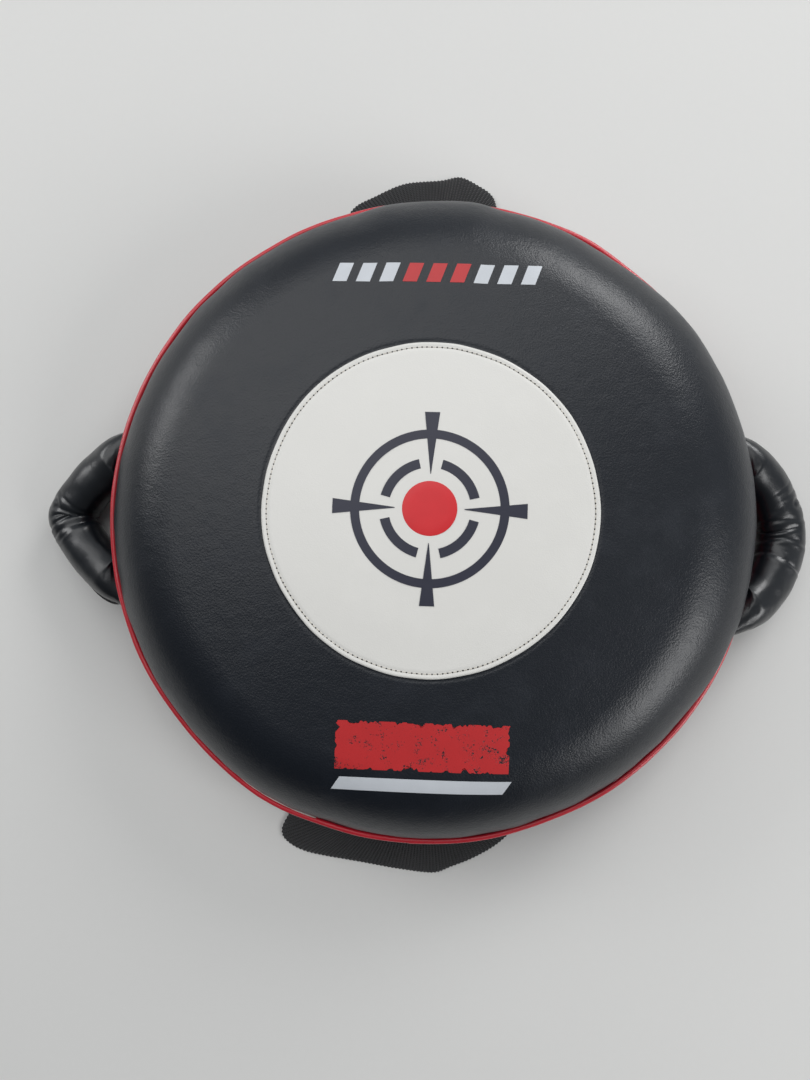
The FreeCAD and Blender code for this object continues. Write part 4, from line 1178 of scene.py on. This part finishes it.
@dataclass
class Studio:
    """Pale floor, soft lights and the camera."""

    finishes: Finishes

    def softbox(self, name: str, azimuth: float, elevation: float, distance: float,
                size: tuple[float, float], power: float, colour: Colour = (1, 1, 1)) -> None:
        """A rectangular lamp that faces the shield from a bearing and height in degrees."""
        lamp = bpy.data.lights.new(name, "AREA")
        lamp.shape = "RECTANGLE"
        lamp.size, lamp.size_y = size
        lamp.energy = power
        lamp.color = colour
        around, up = math.radians(azimuth), math.radians(elevation)
        level = math.cos(up)
        place = Vector((math.cos(around) * level, math.sin(around) * level, math.sin(up))) * distance
        piece = bpy.data.objects.new(name, lamp)
        piece.location = place
        piece.rotation_euler = place.to_track_quat("Z", "Y").to_euler()
        bpy.context.scene.collection.objects.link(piece)

    def grade(self, tree: bpy.types.NodeTree) -> None:
        """Room light: dimmer towards the near left, brighter towards the far right, as beside windows."""
        place = tree.nodes.new("ShaderNodeTexCoord")
        slope = tree.nodes.new("ShaderNodeVectorMath")
        slope.operation = "DOT_PRODUCT"
        slope.inputs[1].default_value = (0.07, 0.21, 0.04)
        level = tree.nodes.new("ShaderNodeMath")
        level.operation = "ADD"
        level.inputs[1].default_value = 0.27
        background = tree.nodes["Background"]
        background.inputs["Color"].default_value = (0.90, 0.95, 1.0, 1.0)
        tree.links.new(place.outputs["Generated"], slope.inputs[0])
        tree.links.new(slope.outputs["Value"], level.inputs[0])
        tree.links.new(level.outputs["Value"], background.inputs["Strength"])

    def build(self) -> None:
        """Floor, world, lamps and camera."""
        reach = np.linspace(-4, 4, 9)
        x, y = np.meshgrid(reach, reach, indexing="ij")
        top = np.stack([x, y, 0 * x], -1)
        floor = plate("floor", top, top - [0, 0, 0.02], self.finishes.floor)
        world = bpy.data.worlds.new("room")
        world.use_nodes = True
        self.grade(world.node_tree)
        bpy.context.scene.world = world
        bpy.context.scene.view_settings.view_transform = "Standard"
        self.softbox("ceiling", 122, 62, 2.4, (2.4, 1.8), 22)
        self.softbox("window_low_right", -30, 31, 2.2, (1.2, 0.9), 20)
        self.softbox("window_upper_right", 56, 30, 2.4, (1.0, 0.8), 23)
        self.softbox("window_upper_left", 152, 28, 2.4, (1.1, 0.7), 15)
        lens = bpy.data.cameras.new("camera")
        lens.lens = 27.033
        lens.sensor_width = 36
        lens.clip_start = 0.01
        camera = bpy.data.objects.new("camera", lens)
        camera.location = (-2.117 * MM, -55.012 * MM, 680.157 * MM)
        camera.rotation_euler = Euler([math.radians(turn) for turn in (3.30662, 1.43394, 1.00252)])
        bpy.context.scene.collection.objects.link(camera)
        bpy.context.scene.camera = camera


TOP_OUTER = ((-84, 190), (-85, 215), (-81, 245), (-69, 268), (-51, 279), (-25, 290.5), (5, 293), (22, 296),
             (36, 290), (49, 281), (54, 268), (57, 245), (64, 215), (74, 190))
TOP_INNER = ((-46, 190), (-46, 215), (-42, 235), (-33, 247), (-20, 254), (0, 256), (14, 257), (22, 252),
             (28, 243), (33, 225), (36, 207), (36, 190))
BOTTOM_OUTER = ((-100, -190), (-101, -215), (-110, -240), (-117, -256), (-112, -266), (-93, -274.5),
                (-52, -281), (-18, -286), (8, -288), (22, -283), (43, -274), (63, -261), (78, -243),
                (85, -220), (83.5, -190))
BOTTOM_INNER = ((-62, -190), (-62, -215), (-64, -230), (-66, -238), (-60, -243), (-50, -245), (-30, -247),
                (-12, -249), (5, -250), (14, -247), (24, -242), (34, -234), (42, -225), (46, -212),
                (45.5, -190))
LEFT_FOLDS = ((-15, 0.7, 2.6), (-7, 1.6, 2.4), (0, 2.4, 2.2), (7, 2.0, 2.3), (15, 1.3, 2.6))
LEFT_NICKS = ((6.0, 1.0, 0.8), (-14.0, 1.5, 0.3), (0.5, 1.4, 0.4), (13.0, 1.1, 0.35), (19.0, 1.5, 0.3))
LEFT_LOOPS = ((-6.0, 1.0, 0.5),)
RIGHT_FOLDS = ((-24, 0.4, 2.6), (-13, 0.8, 2.3), (-4, 1.1, 2.0), (7, 0.9, 2.2), (24, 0.6, 2.4))
RIGHT_NICKS = ((-31.0, 1.2, 0.4), (-10.0, 1.0, 0.5), (8.0, 1.1, 0.45), (27.0, 1.2, 0.6), (-38.0, 1.5, 0.3))
RIGHT_LOOPS = ((-22.0, 1.02, 0.5),)


def main() -> None:
    """Builds the shield piece by piece, then the studio."""
    logging.basicConfig(level=logging.INFO, format="%(name)s: %(message)s")
    finishes = Finishes()
    form = PadForm()
    dress_nodes(finishes)
    Covers(form, finishes).build()
    target = Target(form, finishes)
    target.build()
    FacePrints(target, finishes).build()
    Grip(form, finishes, Side.LEFT, top=52 * MM, bottom=-63 * MM, ends=(45.5 * MM, -53 * MM),
         reach=50.5 * MM, elbow=-2 * MM, elbow_pull=10 * MM, end_pull=12 * MM,
         folds=LEFT_FOLDS, nicks=LEFT_NICKS, loops=LEFT_LOOPS, seed=61).build()
    Grip(form, finishes, Side.RIGHT, top=53 * MM, bottom=-72 * MM, ends=(48 * MM, -66 * MM),
         reach=40.5 * MM, elbow=-8 * MM, elbow_pull=25 * MM, end_pull=14 * MM,
         folds=RIGHT_FOLDS, nicks=RIGHT_NICKS, loops=RIGHT_LOOPS, seed=71).build()
    Loop(form, finishes, "top", TOP_OUTER, TOP_INNER, 81).build()
    Loop(form, finishes, "bottom", BOTTOM_OUTER, BOTTOM_INNER, 91).build()
    Studio(finishes).build()


if __name__ == "__main__":
    main()
